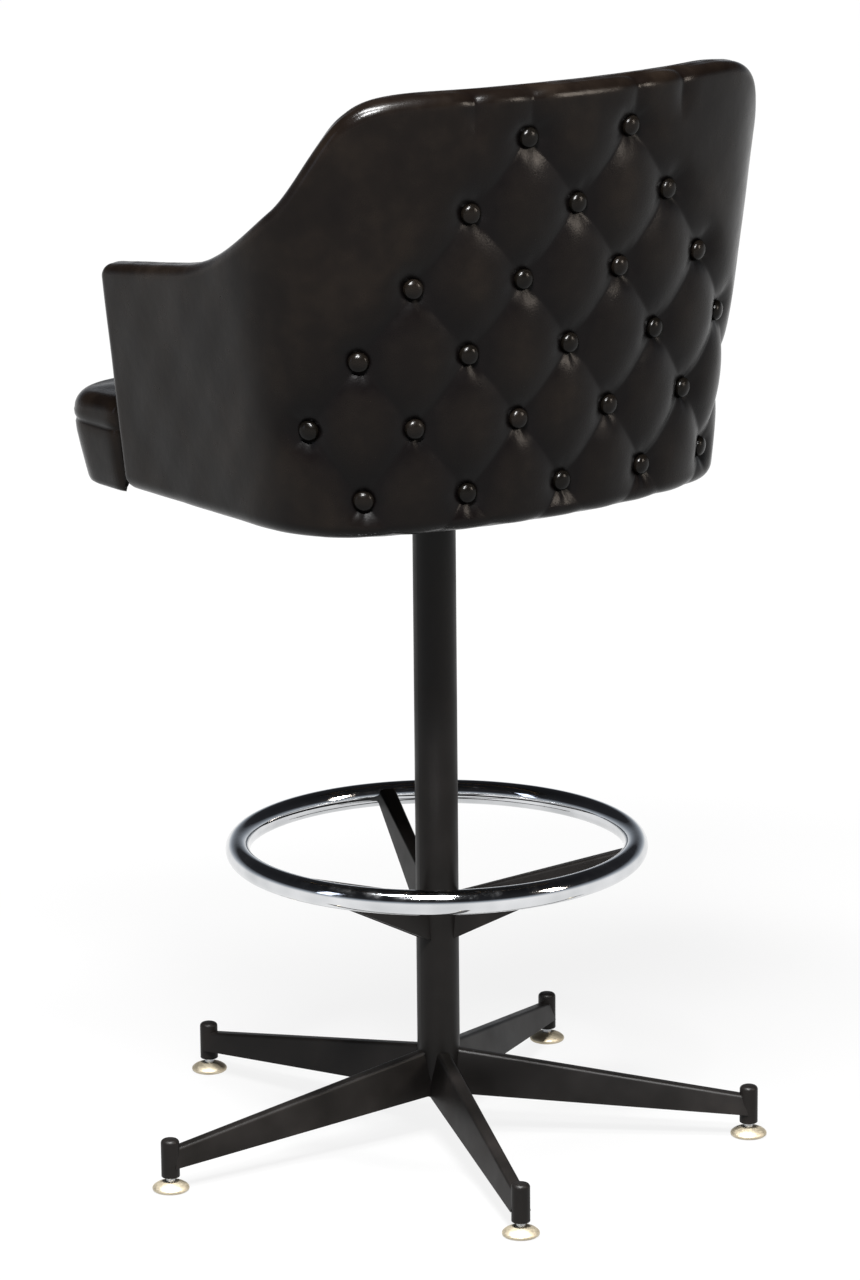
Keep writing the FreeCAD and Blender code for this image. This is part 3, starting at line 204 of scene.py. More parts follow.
def vinyl(name, fold_shade, middle, crown_tone):
    """Coated fabric in three shades: a painted shade, darkest down in the folds, and a lightest
    tone on the crowns.
    """
    material, shader, where = finish(name)
    pebble = add(material, "TexVoronoi", {"feature": "SMOOTH_F1"}, Vector=where,
                 Scale=PEBBLES_PER_M, Smoothness=0.6)
    creasing = add(material, "TexNoise", None, Vector=where, Scale=CREASES_PER_M, Detail=3.0)
    blotch = add(material, "TexNoise", None, Vector=where, Scale=per_metre(BLOTCH_MM),
                 Detail=3.0, Roughness=NOISE_ROUGH)
    cloud = add(material, "TexNoise", None, Vector=where, Scale=per_metre(CLOUD_MM),
                Detail=2.0, Roughness=NOISE_ROUGH)
    sunk = add(material, "Attribute", {"attribute_name": "fold"}).outputs["Fac"]
    mixed = add(material, "Math", {"operation": "MULTIPLY_ADD"}, _0=cloud, _1=0.35, _2=blotch)
    # The tone falls with the fold's depth: painted shade down in the folds, which leaves the
    # crowns lighter
    tone = add(material, "Math", {"operation": "SUBTRACT"}, _0=mixed, _1=sunk)
    tone = add(material, "MapRange", None, Value=tone, From_Min=0.2, From_Max=0.95)
    join(material, shader, "Base Color",
         add(material, "ValToRGB", {"stops": [(0.0, fold_shade), (0.55, middle), (1.0, crown_tone)]},
             Fac=tone))
    plain_rough = add(material, "MapRange", None, Value=cloud, From_Min=0.3, From_Max=0.7,
                      To_Min=VINYL_ROUGH[0], To_Max=VINYL_ROUGH[1])
    join(material, shader, "Roughness",
         add(material, "Math", {"operation": "MULTIPLY_ADD"}, _0=sunk, _1=FOLD_DULLING,
             _2=plain_rough))
    shader.inputs["IOR"].default_value = 1.5
    shader.inputs["Specular IOR Level"].default_value = VINYL_SPECULAR
    grain = add(material, "Math", {"operation": "MULTIPLY_ADD"}, _0=creasing, _1=0.35,
                _2=pebble)
    embossed = add(material, "Bump", None, Strength=0.16, Distance=GRAIN_DEEP_M, Height=grain)
    slack = add(material, "TexNoise", None, Vector=where, Scale=per_metre(SLACK_MM),
                Detail=2.0, Roughness=NOISE_ROUGH)
    join(material, shader, "Normal",
         add(material, "Bump", None, Strength=0.35, Distance=SLACK_DEEP_M, Height=slack,
             Normal=embossed))
    return material


# Shades: the painted shade in the folds, the middle tone, and the lightest tone on the crowns
seat_vinyl = vinyl("upholstery_vinyl", "#020101", "#060403", "#0e0a07")
button_vinyl = vinyl("button_vinyl", "#020202", "#050403", "#0c0907")
print("vinyl:", len(seat_vinyl.node_tree.nodes), "nodes")

# %% [markdown]
# ## The bucket's outline
# Seen from above, the seat's back is one shallow arc between two tighter corner arcs, and the
# arms run straight forward. The whole outline leans back and flares as it rises. A point is
# found from three numbers: its length along the outline from the middle of the back, its
# height, and how far it is outside the fullest line. The corners are then averaged over a
# short length, because vinyl on foam doesn't change its curve all at once. Curves lofted by
# hand could give the same wall. A formula is used, because the cover, the pad, the cushion and
# the buttons all read it, and so they always fit each other.

# %% Outline
HALF_WIDTH, REAR_REACH, REAR_RAD, CORNER_RAD = 289.0, 241.0, 620.0, 133.0
FLARE, LEAN, REF_HEIGHT = 0.000385, 0.099, 900.0
SEAT_BOTTOM, ARM_FRONT = 698.0, 172.0
WINDOW = 56.0
REAR_ANGLE = math.asin((HALF_WIDTH - CORNER_RAD) / (REAR_RAD - CORNER_RAD))
CORNER_X = (REAR_RAD - CORNER_RAD) * math.sin(REAR_ANGLE)
CORNER_Y = (REAR_RAD - CORNER_RAD) * math.cos(REAR_ANGLE) - REAR_RAD
ARC_END = REAR_RAD * REAR_ANGLE
CORNER_END = ARC_END + CORNER_RAD * (math.pi / 2 - REAR_ANGLE)


def plain_outline(along, height, level):
    """Arc, corner arc, then a straight arm; scaled and moved back in step with the height."""
    path = np.abs(along)
    scale, rear = 1 + FLARE * (height - REF_HEIGHT), REAR_REACH + LEAN * (height - REF_HEIGHT)
    in_arc, in_corner = path < ARC_END, path < CORNER_END
    turn = np.where(in_arc, path / REAR_RAD,
                    np.where(in_corner, REAR_ANGLE + (path - ARC_END) / CORNER_RAD, math.pi / 2))
    x = np.where(in_arc, REAR_RAD * np.sin(turn), CORNER_X + CORNER_RAD * np.sin(turn))
    y = np.where(in_arc, REAR_RAD * (np.cos(turn) - 1),
                 np.where(in_corner, CORNER_Y + CORNER_RAD * np.cos(turn),
                          CORNER_Y - (path - CORNER_END)))
    return np.stack([np.copysign(1.0, along) * (x * scale + level * np.sin(turn)),
                     y * scale + level * np.cos(turn) + rear, height + 0 * path], axis=-1)


def outline(along, height, level):
    """The plain outline, averaged over a window along it that counts its middle most."""
    along, height, level = np.broadcast_arrays(along, height, level)
    steps = np.linspace(-WINDOW / 2, WINDOW / 2, 9)
    shares = 1 - (np.abs(steps) / (0.625 * WINDOW)) ** 2
    total = sum(share * plain_outline(along + step, height, level)
                for step, share in zip(steps, shares))
    return total / shares.sum()


def arm_end(height):
    """The length along the outline at which an arm's front is reached."""
    scale, rear = 1 + FLARE * (height - REF_HEIGHT), REAR_REACH + LEAN * (height - REF_HEIGHT)
    return CORNER_END + (rear + CORNER_Y * scale + ARM_FRONT) / scale


# %% Rim line
RIM_KNOTS = [(-172.0, 931.0, 0.15), (-25.0, 950.0, 0.15), (133.0, 1024.0, 0.72),
             (193.0, 1099.0, 1.45), (243.0, 1136.0, 0.0)]


def rim_line(y):
    """Height of the rim against the distance behind the column: cubic spans between knots,
    each with its own height and slope."""
    height = np.full_like(y, RIM_KNOTS[-1][1])
    for (y0, z0, m0), (y1, z1, m1) in list(zip(RIM_KNOTS, RIM_KNOTS[1:]))[::-1]:
        span = y1 - y0
        u = np.clip((y - y0) / span, 0, 1)
        cubic = (z0 * (1 + 2 * u) * (1 - u) ** 2 + z1 * u * u * (3 - 2 * u)
                 + span * (m0 * u * (1 - u) ** 2 - m1 * u * u * (1 - u)))
        height = np.where(y <= y1, cubic, height)
    return height


def rim_height(along):
    """The rim's height at a length along the outline. A guess is averaged with what the rim
    line gives at that guess, until it no longer moves."""
    height = np.full_like(along, RIM_KNOTS[-1][1])
    for _ in range(14):
        path = np.minimum(np.abs(along), arm_end(height))
        height = 0.5 * (height + rim_line(plain_outline(path, height, 0.0)[..., 1]))
    return height


print("rim at the middle, corner and arm front:", rim_height(np.array([0.0, 285.0, 640.0])))

# %% [markdown]
# ## Diamond tufting
# Each button pulls the cover down through the foam, and a fold runs from button to button
# along both diagonals. Two slanted counters turn the folds into whole odd numbers: one grows
# down to one side, the other down to the other side. The distance to the nearest odd number
# gives the pillow between the folds. A second, steeper pit belongs to each button alone. The
# tufts could be sculpted, or found by a cloth simulation. Written as a depth over the sheet,
# they come out the same every time, and each pit lies under its own button.

# %% Tufting
PITCH, ROW_STEP, TOP_ROW = 59.0, 70.0, 1086.0
BUTTON_ROWS = {1: (-1, 1), 2: (-2, 0, 2), 3: (-3, -1, 1, 3), 4: (-4, -2, 0, 2, 4),
               5: (-5, -3, -1, 1, 3, 5), 6: (-4, -2, 0, 2, 4)}
BUTTONS = np.array([(PITCH * column, TOP_ROW - ROW_STEP * (row - 1))
                    for row, columns in BUTTON_ROWS.items() for column in columns])
FOLD_GAP = 1 / math.hypot(1 / PITCH, 1 / ROW_STEP)
FIRST_FOLD, LAST_FOLD, PAST_FOLD = -1, 9, 0.75
FOLD_SINK, FOLD_ROUND, CROWN_POWER = 6.5, 1.2, 2.4
PIT_SINK, PIT_REACH, PIT_POWER, PIT_LIMIT = 10.0, 15.0, 1.35, 75.0
LOW_START, LOW_SPAN, LOW_SHARE = 736.0, 36.0, 0.6
SIDE_START, SIDE_END, SIDE_SHARE = 4.0 * PITCH, 7.5 * PITCH, 0.5
PLEAT_START, PLEAT_FULL, PLEAT_SHARE, PLEAT_NARROW = -6.0, 26.0, 0.55, 1.6
PLEAT_FADE_START, PLEAT_FADE_END = 130.0, 170.0
GATHER, GATHER_AT, GATHER_WIDE = 0.42, 15.0, 11.0
print("buttons:", len(BUTTONS), "folds lie", round(2 * FOLD_GAP, 1), "mm apart")


# %% Depth of the tufting
def smooth_step(value, low, high):
    """A soft step from 0 to 1 between two values."""
    u = np.clip((value - low) / (high - low), 0, 1)
    return u * u * (3 - 2 * u)


def pillow(distance):
    """0 in a fold and 1 on the crown, with a narrow round at the fold's foot."""
    rounded = np.sqrt(distance ** 2 + FOLD_ROUND ** 2) - FOLD_ROUND
    return 1 - (1 - np.clip(rounded / FOLD_GAP, 0, 1)) ** CROWN_POWER


def tuft_depth(along, height):
    """How far the cover is drawn in at a place on the back, in millimetres. The folds fade
    towards the arms and the lower edge. Over the top row straight pleats run to the rim, and
    each pit has a few fine gathers round it."""
    fall = (TOP_ROW - height) / ROW_STEP
    counters = along / PITCH + fall, -along / PITCH + fall
    crowns = []
    for one, other in (counters, counters[::-1]):
        nearest = np.clip(2 * np.floor(one / 2) + 1, FIRST_FOLD, LAST_FOLD)
        crown = pillow(np.abs(one - nearest) * FOLD_GAP)
        beyond = np.maximum(FIRST_FOLD - other, other - LAST_FOLD)
        crowns.append(crown + (1 - crown) * smooth_step(beyond, 0.0, PAST_FOLD))
    diamonds = FOLD_SINK * (1 - crowns[0] * crowns[1])
    side = smooth_step(np.abs(along), SIDE_START, SIDE_END)
    low = smooth_step(LOW_START - height, 0.0, LOW_SPAN)
    diamonds = diamonds * (1 - LOW_SHARE * low) * (1 - SIDE_SHARE * side)
    up = np.minimum(np.abs(np.abs(along) - PITCH), np.abs(np.abs(along) - 2 * PITCH) * 1.15)
    pleats = (PLEAT_SHARE * FOLD_SINK * (1 - pillow(PLEAT_NARROW * up))
              * (1 - smooth_step(np.abs(along), PLEAT_FADE_START, PLEAT_FADE_END)))
    above = smooth_step(height - TOP_ROW, PLEAT_START, PLEAT_FULL)
    depth = diamonds * (1 - above) + pleats * above
    for x, z in BUTTONS:
        away = np.hypot(along - x, height - z)
        near = away < PIT_LIMIT
        turn = np.arctan2(height[near] - z, along[near] - x)
        r = away[near]
        depth[near] += PIT_SINK * np.exp(-(r / PIT_REACH) ** PIT_POWER)
        gathers = np.cos(8 * turn + 1.7 * x + z) * 0.5 + np.cos(5 * turn + 0.9 * z) * 0.5
        depth[near] += GATHER * gathers * np.exp(-((r - GATHER_AT) / GATHER_WIDE) ** 2)
    return depth


# %% [markdown]
# ## A padded wall with rolled edges
# The outer cover and the inner pad are both a sheet over foam whose edges roll over the frame.
# The sheet is a grid. Its middle lies on the face, and a strip round it follows a profile: a
# quarter round, then the flat cap, then a dip into the seam. At the corners the strip fans
# out. The share of the way through the strip is the larger of the two border shares, which
# also makes the corner close without a hole. A bevel on a thick wall would be quicker, but its
# edge would be the same all round, and here the rim rises, turns and ends in the arm's front.

# %% The rim's inset line
ROLL = 15.0


def border_table():
    """The rim's inset line: points a roll's width under the rim, square to it, up to where the
    arm's front inset starts."""
    along = np.linspace(0.0, 700.0, 2801)
    height = rim_height(along)
    slope = np.gradient(height, along)
    length = np.hypot(slope, 1.0)
    square = np.stack([-slope / length, 1 / length], 1)
    inset = np.stack([along, height], 1) - ROLL * square
    room = arm_end(inset[:, 1]) - ROLL - inset[:, 0]
    last = int(np.argmax(room < 0))
    return along[:last], inset[:last], square[:last]


RIM_ALONG, RIM_INSET, RIM_SQUARE = border_table()
LOW_INSET = SEAT_BOTTOM + ROLL
print("the inset line is", len(RIM_ALONG), "points long and ends at", RIM_INSET[-1].round(1))


# %% The sheet's grid
def rolled_sheet(columns, rows, strip):
    """For a grid of places: length along, height, strip share and strip direction.
    Columns are lengths along at the rim, from 0 to the front, and they are mirrored."""
    columns = np.concatenate([-columns[:0:-1], columns])
    p = np.concatenate([np.full(strip, columns[0]), columns, np.full(strip, columns[-1])])
    q = np.concatenate([np.zeros(strip), rows, np.ones(strip)])
    side = np.concatenate([-np.arange(strip, 0, -1), np.zeros(len(columns)),
                           np.arange(1, strip + 1)]) / strip
    rise = np.concatenate([-np.arange(strip, 0, -1), np.zeros(len(rows)),
                           np.arange(1, strip + 1)]) / strip
    b, a = np.meshgrid(side, rise)
    p, q = np.meshgrid(p, q)
    share = np.maximum(np.abs(a), np.abs(b))
    top = [np.copysign(1, p) * np.interp(np.abs(p), RIM_ALONG, RIM_INSET[:, 0]),
           np.interp(np.abs(p), RIM_ALONG, RIM_INSET[:, 1])]
    reach = np.interp(np.abs(p), [0, RIM_ALONG[-1]], [0, arm_end(LOW_INSET) - ROLL])
    low = [np.copysign(1, p) * reach, np.full_like(p, LOW_INSET)]
    along, height = [lo + (hi - lo) * q for lo, hi in zip(low, top)]
    square_x = np.interp(np.abs(p), RIM_ALONG, RIM_SQUARE[:, 0])
    up_angle = np.arctan2(np.interp(np.abs(p), RIM_ALONG, RIM_SQUARE[:, 1]), square_x)
    wide, tall = np.abs(b), np.abs(a)
    with np.errstate(divide="ignore", invalid="ignore"):
        lean = np.where(tall >= wide, 0.5 * wide / np.maximum(tall, 1e-9),
                        1 - 0.5 * tall / np.maximum(wide, 1e-9))
    start = np.where(a > 0, up_angle, np.where(a < 0, -math.pi / 2, 0.0))
    angle = start * (1 - np.where(tall > 0, lean, 1.0))
    direction = np.stack([np.copysign(np.cos(angle), np.where(b != 0, b, p)), np.sin(angle)], -1)
    direction[..., 0] = np.where(b == 0, np.copysign(1, p) * np.cos(angle), direction[..., 0])
    return along, height, share, direction


# %% Profiles over the edge
def along_profile(share, profile):
    """Places and slopes on a profile at shares of its length: outward in the face, level, and
    the angle by which the surface has turned from the face."""
    profile = np.asarray(profile, float)
    run = np.concatenate([[0], np.cumsum(np.hypot(*np.diff(profile, axis=0).T))])
    run /= run[-1]
    out, level = [np.interp(share, run, profile[:, k]) for k in (0, 1)]
    tangent = np.gradient(profile, run, axis=0)
    turned = np.unwrap(np.arctan2(-tangent[:, 1], tangent[:, 0]))
    return out, level, np.interp(share, run, turned)


def quarter(centre_out, centre_level, radius_out, radius_level, start, end, count=14):
    """Points of an elliptic arc in a profile, between two angles in degrees from the face."""
    t = np.radians(np.linspace(start, end, count))
    return np.stack([centre_out + radius_out * np.sin(t),
                     centre_level + radius_level * np.cos(t)], 1)


# %% [markdown]
# ## Outer cover
# On the real seat one piece of vinyl wraps the outside. It is buttoned while it is flat on the
# foam, then pulled over the rim and the arm fronts, and tacked under the board. The grid is
# finest where the tufting is. Each quad is split along the fold that crosses it, so that the
# fold runs as one line and not as a saw.

# %% The cover's grid and profile
COVER_FINE_TO, SEAM_LEVEL, COVER_STRIP = 330.0, -28.0, 22
TUFTS_FADE, TUFTS_GONE, BACK_SLACK, ARM_SLACK = 0.45, 0.8, 0.25, 0.35
PUCKER_START, PUCKER_FULL = 0.35, 0.9
cover_columns = np.concatenate([np.linspace(0, COVER_FINE_TO, 150),
                                np.linspace(COVER_FINE_TO, RIM_ALONG[-1], 68)[1:]])
cover_rows = np.linspace(0, 1, 176)
cover_profile = np.concatenate([
    quarter(0, -ROLL, ROLL, ROLL, 0, 90),
    [[ROLL + 0.7, -19.0], [ROLL + 0.9, -22.5], [ROLL + 0.2, -25.5], [ROLL - 1.6, -27.3],
     [ROLL - 4.5, SEAM_LEVEL]]])


def slack_skin(along, height, amount):
    """Slow unevenness of hand-pulled vinyl: a few crossed waves of about 60 to 250 mm."""
    return amount * (np.sin(along / 31 + 0.6 * np.sin(height / 47)) * np.sin(height / 26 + 1.3)
                     + 0.7 * np.sin(along / 17 - height / 39 + 0.4)
                     + 0.5 * np.sin(along / 9.3 + height / 13.7)) / 2.2


def wall(columns, rows, strip, profile, sinking):
    """Points, places and folds of a rolled sheet. Sinking gives a depth over (along, height),
    and it is taken square to the profile."""
    along, height, share, direction = rolled_sheet(columns, rows, strip)
    out, level, turned = along_profile(share, profile)
    s, z = along + out * direction[..., 0], height + out * direction[..., 1]
    depth = sinking(s, z, share)
    s = s - depth * np.sin(turned) * direction[..., 0]
    z = z - depth * np.sin(turned) * direction[..., 1]
    level = level - depth * np.cos(turned)
    return outline(s, z, level), s, z, depth


def cover_sinking(along, height, share):
    """Tufting on the back and over the rim's first half, a slight slackness that grows
    towards the arms, and fine puckers where the skin is pulled into the seam."""
    tufts = tuft_depth(along, height) * (1 - smooth_step(share, TUFTS_FADE, TUFTS_GONE))
    free = smooth_step(np.abs(along), 4 * PITCH, 6 * PITCH)
    slack = slack_skin(along, height, BACK_SLACK + ARM_SLACK * free) * (1 - share)
    pucker = (0.5 * np.cos(along / 5.2 + 0.8 * np.sin(along / 23))
              * smooth_step(share, PUCKER_START, PUCKER_FULL)
              * (1 - smooth_step(share, PUCKER_FULL, 1.0)))
    return tufts + slack + 0.4 * pucker


# %% Make the outer cover
FULL_FOLD = 14.0
points, s, z, depth = wall(cover_columns, cover_rows, COVER_STRIP, cover_profile, cover_sinking)
points = points.reshape(-1, 3)
triangles = split_quads(grid_faces(*depth.shape), -depth.ravel())
cover = new_piece("outer_cover_skin", points, triangles, seat_vinyl, "seat",
                  uv=np.stack([s.ravel(), z.ravel()], 1),
                  fold=np.clip(depth / FULL_FOLD, 0, 1))
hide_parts("outer_cover")
compare_boxes("outer_cover", points)

# %% [markdown]
# ## Inner pad
# Inside the bucket the same vinyl lies over a smooth pad, fuller over the small of the back.
# It starts in the same seam on top of the rim. Nothing in the photograph shows this side, so it
# has only what such a seat needs: a rolled edge and a soft, slightly slack face.

# %% Make the inner pad
PAD_FACE, PAD_FINE_TO, PAD_STRIP, PAD_SLACK = -38.8, 360.0, 16, 0.7
LUMBAR_SWELL, LUMBAR_START, LUMBAR_TALL = 16.0, 820.0, 150.0
LUMBAR_FULL_TO, LUMBAR_END = 150.0, 330.0
pad_profile = np.concatenate([
    quarter(0, PAD_FACE + 9.5, ROLL, -9.5, 0, 92),
    [[ROLL - 1.5, SEAM_LEVEL - 0.2], [ROLL - 5.0, SEAM_LEVEL + 0.3]]])


def pad_sinking(along, height, share):
    """The lumbar swell, taken inwards, and a slight slackness."""
    rise = np.clip((height - LUMBAR_START) / LUMBAR_TALL, 0, 1)
    middle = 1 - smooth_step(np.abs(along), LUMBAR_FULL_TO, LUMBAR_END)
    swell = LUMBAR_SWELL * np.sin(math.pi * rise) ** 2 * middle
    return swell + slack_skin(along + 40, height, PAD_SLACK) * (1 - share)


pad_columns = np.concatenate([np.linspace(0, PAD_FINE_TO, 80),
                              np.linspace(PAD_FINE_TO, RIM_ALONG[-1], 50)[1:]])
pad_rows = np.linspace(0, 1, 80)
points, s, z, depth = wall(pad_columns, pad_rows, PAD_STRIP, pad_profile, pad_sinking)
points = points.reshape(-1, 3)
pad = new_piece("inner_pad_skin", points, grid_faces(*depth.shape), seat_vinyl, "seat",
                uv=np.stack([s.ravel(), z.ravel()], 1))
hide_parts("inner_pad")
compare_boxes("inner_pad", points)

# %% [markdown]
# ## Buttons
# Covered buttons: a domed metal shell with the same vinyl pressed over it, its edge turned
# under. Each is one turned profile, set square to the pit it sits in. The dome is a little
# fuller than half of a flattened ball, and it carries a small round highlight. They could be
# 25 objects. They are one mesh, because they stand for one node and never move apart.

# %% Make the buttons
BUTTON_RAD, BUTTON_DOME, DOME_POWER, BUTTON_SIT, BUTTON_SIDES = 10.3, 6.4, 0.9, -10.2, 28


def turned_points(profile, count):
    """A profile of radius and height turned about the z axis, as rows of points."""
    angle = 2 * math.pi * np.arange(count) / count
    radius, height = np.asarray(profile, float).T
    return np.stack([radius[:, None] * np.cos(angle), radius[:, None] * np.sin(angle),
                     np.repeat(height[:, None], count, 1)], -1)


t = np.radians(np.linspace(0, 90, 9))
dome = np.stack([BUTTON_RAD * np.sin(t), BUTTON_DOME * np.cos(t) ** DOME_POWER], 1)
dome[-1, 1] = 0.0
under = [[BUTTON_RAD + 0.15, -1.0], [BUTTON_RAD - 0.6, -2.0], [6.0, -3.2], [0.0, -3.6]]
one_button = turned_points(np.concatenate([dome, under]), BUTTON_SIDES)
spots = outline(BUTTONS[:, 0], BUTTONS[:, 1], BUTTON_SIT)
ahead = outline(BUTTONS[:, 0] + 1.0, BUTTONS[:, 1], BUTTON_SIT) - spots
upward = outline(BUTTONS[:, 0], BUTTONS[:, 1] + 1.0, BUTTON_SIT) - spots
unit = [v / np.linalg.norm(v, axis=1, keepdims=True) for v in (ahead, upward)]
outward = -np.cross(unit[0], unit[1])
outward *= np.sign(np.sum(outward * (spots - [0, 0, REF_HEIGHT]), axis=1))[:, None]
local = one_button.reshape(-1, 3)
points = (spots[:, None] + local[None, :, :1] * unit[0][:, None]
          + local[None, :, 1:2] * unit[1][:, None] + local[None, :, 2:] * outward[:, None])
one = grid_faces(*one_button.shape[:2], close_columns=True)
buttons = new_piece("covered_buttons", points.reshape(-1, 3),
                    repeat_faces(one, len(local), len(BUTTONS)), button_vinyl, "seat")
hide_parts("tuft_buttons")

# %% [markdown]
# ## Seat cushion
# A T cushion: between the arms it is as wide as the bucket's inside, and in front of them its
# nose spreads to the arms' outer sides. It is a sewn box of vinyl over foam. Its top is
# crowned, its front rolls over and falls back under, and a seam runs round at mid height.
# The outline is worked out once at each height and the heights are stacked as rings. A box
# with rounded edges would miss the T and the draw of the nose.

# %% Cushion outline
NOSE_REACH, NOSE_CORNER, SEAM_HEIGHT, NOSE_DRAW = 286.0, 50.0, 757.0, 12.0
NOSE_BOTTOM, CUSHION_LEVEL, CROWN = 692.0, -40.9, 803.0
CROWN_MIDDLE, CROWN_FALL = -40.0, 6400.0
NOSE_SHY, NOTCH_BACK, INNER_SHY = 3.0, 1.0, 12.0
SEAT_MIDDLE = np.array([0.0, -200.0])


def half_cushion(height):
    """Corners from the middle of the nose round one side to the middle of the back: a straight
    front, a quarter round, a step in at the arm, and the bucket's inner outline."""
    wide = HALF_WIDTH * (1 + FLARE * (height - REF_HEIGHT)) - NOSE_SHY
    drawn = max(0.0, SEAM_HEIGHT - height) / (SEAM_HEIGHT - NOSE_BOTTOM)
    front = -NOSE_REACH + NOSE_DRAW * drawn
    rear = -ARM_FRONT - NOTCH_BACK
    end = float(arm_end(np.array(height)))
    inner = plain_outline(np.linspace(end - INNER_SHY, 0.0, 90), height, CUSHION_LEVEL)[:, :2]
    turn = np.linspace(0, math.pi / 2, 24)
    corner = np.stack([wide - NOSE_CORNER + NOSE_CORNER * np.sin(turn),
                       front + NOSE_CORNER - NOSE_CORNER * np.cos(turn)], 1)
    flat = np.stack([np.linspace(0, wide - NOSE_CORNER, 40)[:-1], np.full(39, front)], 1)
    side = np.stack([np.full(10, wide), np.linspace(front + NOSE_CORNER, rear - 7, 12)[1:-1]], 1)
    notch = np.array([[wide - 1.0, rear - 3.0], [wide - 4.0, rear - 0.8], [wide - 9.0, rear],
                      [inner[0, 0] + 9.0, rear], [inner[0, 0] + 2.0, rear + 1.0],
                      [inner[0, 0], rear + 5.0]])
    return np.concatenate([flat, corner, side, notch, inner])


# %% The whole outline
def whole_cushion(height):
    """Both halves as one closed ring, with its corners eased over a few neighbours."""
    half = half_cushion(height)
    ring = np.concatenate([half, half[-2:0:-1] * [-1, 1]])
    for _ in range(3):
        ring = 0.5 * ring + 0.25 * (np.roll(ring, 1, 0) + np.roll(ring, -1, 0))
    return ring


# %% The cushion's crown
def crown_height(place):
    """The top's height: a shallow dome that falls towards the edges."""
    across = np.hypot(place[..., 0], place[..., 1] - CROWN_MIDDLE)
    return CROWN - across ** 2 / CROWN_FALL


# %% The cushion's rings
EDGE, DISH, TOP_SLACK = 17.0, 2.6, 0.8
SIDE_RINGS = [(NOSE_BOTTOM, 9.0), (NOSE_BOTTOM, 4.0), (694.0, 1.2), (698.0, 0.0), (712.0, -0.8),
              (728.0, -1.6), (744.0, -2.0), (753.0, -1.2), (755.6, 0.2), (757.0, 0.9),
              (758.4, 0.2), (761.0, -0.9), (766.0, -1.0)]
rings = []
for height, inset in SIDE_RINGS:
    ring = whole_cushion(height)
    away = ring - SEAT_MIDDLE
    ring = SEAT_MIDDLE + away * (1 - inset / np.linalg.norm(away, axis=1, keepdims=True))
    rings.append(np.column_stack([ring, np.full(len(ring), height)]))
top_ring = whole_cushion(CROWN - 2 * EDGE)
away = top_ring - SEAT_MIDDLE
length = np.linalg.norm(away, axis=1, keepdims=True)
for turn in np.radians(np.linspace(0, 90, 12)):
    ring = SEAT_MIDDLE + away * (1 - EDGE * (1 - math.cos(turn)) / length)
    rings.append(np.column_stack([ring, crown_height(ring) - EDGE * (1 - math.sin(turn))]))
last = rings[-1][:, :2]
for share in np.linspace(0.97, 0.0, 44):
    ring = SEAT_MIDDLE + (last - SEAT_MIDDLE) * share
    dish = DISH * (1 - share) * share
    slack = slack_skin(ring[:, 0], ring[:, 1] * 1.3, TOP_SLACK) * share
    rings.append(np.column_stack([ring, crown_height(ring) + dish + slack]))
under_rings = [np.column_stack([SEAT_MIDDLE + (rings[0][:, :2] - SEAT_MIDDLE) * share,
                                np.full(len(last), NOSE_BOTTOM)])
               for share in (0.0, 0.35, 0.7, 0.88)]
stack = np.array(under_rings + rings)
print("cushion:", stack.shape[0], "rings of", stack.shape[1], "points")

# %% Make the cushion
# Its underside is lifted where the board and the arms are
BOARD_TOP, BOARD_FRONT, BOARD_HALF, ARM_CLEAR = 715.5, -234.0, 256.0, -174.5
over_board = ((stack[..., 1] > BOARD_FRONT) & (stack[..., 2] < BOARD_TOP)
              & ((np.abs(stack[..., 0]) < BOARD_HALF) | (stack[..., 1] > ARM_CLEAR)))
stack[..., 2] = np.where(over_board, BOARD_TOP, stack[..., 2])
cushion = new_piece("cushion_skin", stack.reshape(-1, 3),
                    grid_faces(*stack.shape[:2], close_columns=True), seat_vinyl, "seat")
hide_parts("seat_cushion")
compare_boxes("seat_cushion", stack.reshape(-1, 3))

# %% [markdown]
# ## Chromed foot ring
# A bar bent into a hoop, butt welded, polished and plated. Chrome is a near-perfect mirror, so
# the ring shows the pale room and the dark seat above it as long streaks. Its own finish is
# only a slow ripple left by polishing, and a little haze in patches where shoes have rested.
# The shape is the formula of a torus. The ready-made one in Blender would do as well, but the
# grid of the other pieces gives it with two lines.

# %% Chrome and nickel
def mottled(name, metallic, shades, shade_noise, rough, rough_noise):
    """A finish whose colour and roughness each follow a noise of their own. Shades are the
    stops of a ramp. Rough is the noise's range and the roughness at its two ends. Each noise
    is a size in millimetres and an amount of detail."""
    material, shader, where = finish(name)
    shader.inputs["Metallic"].default_value = metallic
    tone, haze = [add(material, "TexNoise", None, Vector=where, Scale=per_metre(size),
                      Detail=detail, Roughness=NOISE_ROUGH)
                  for size, detail in (shade_noise, rough_noise)]
    join(material, shader, "Base Color", add(material, "ValToRGB", {"stops": shades}, Fac=tone))
    join(material, shader, "Roughness",
         add(material, "MapRange", None, Value=haze, From_Min=rough[0], From_Max=rough[1],
             To_Min=rough[2], To_Max=rough[3]))
    return material, shader, where


chrome, shader, where = mottled("chrome_plate", 1.0, [(0.35, "#c3c5c7"), (0.7, "#dcdddf")],
                                (60.0, 2.0), (0.45, 0.8, 0.05, 0.16), (14.0, 4.0))
ripple = add(chrome, "TexNoise", None, Vector=where, Scale=per_metre(9.0), Detail=2.0,
             Roughness=NOISE_ROUGH)
join(chrome, shader, "Normal",
     add(chrome, "Bump", None, Strength=0.06, Distance=0.0004, Height=ripple))
nickel = mottled("bright_nickel", 1.0, [(0.3, "#a89e89"), (0.7, "#c6bca7")], (12.0, 3.0),
                 (0.3, 0.8, 0.5, 0.62), (3.0, 3.0))[0]
print("metals made:", chrome.name, nickel.name)

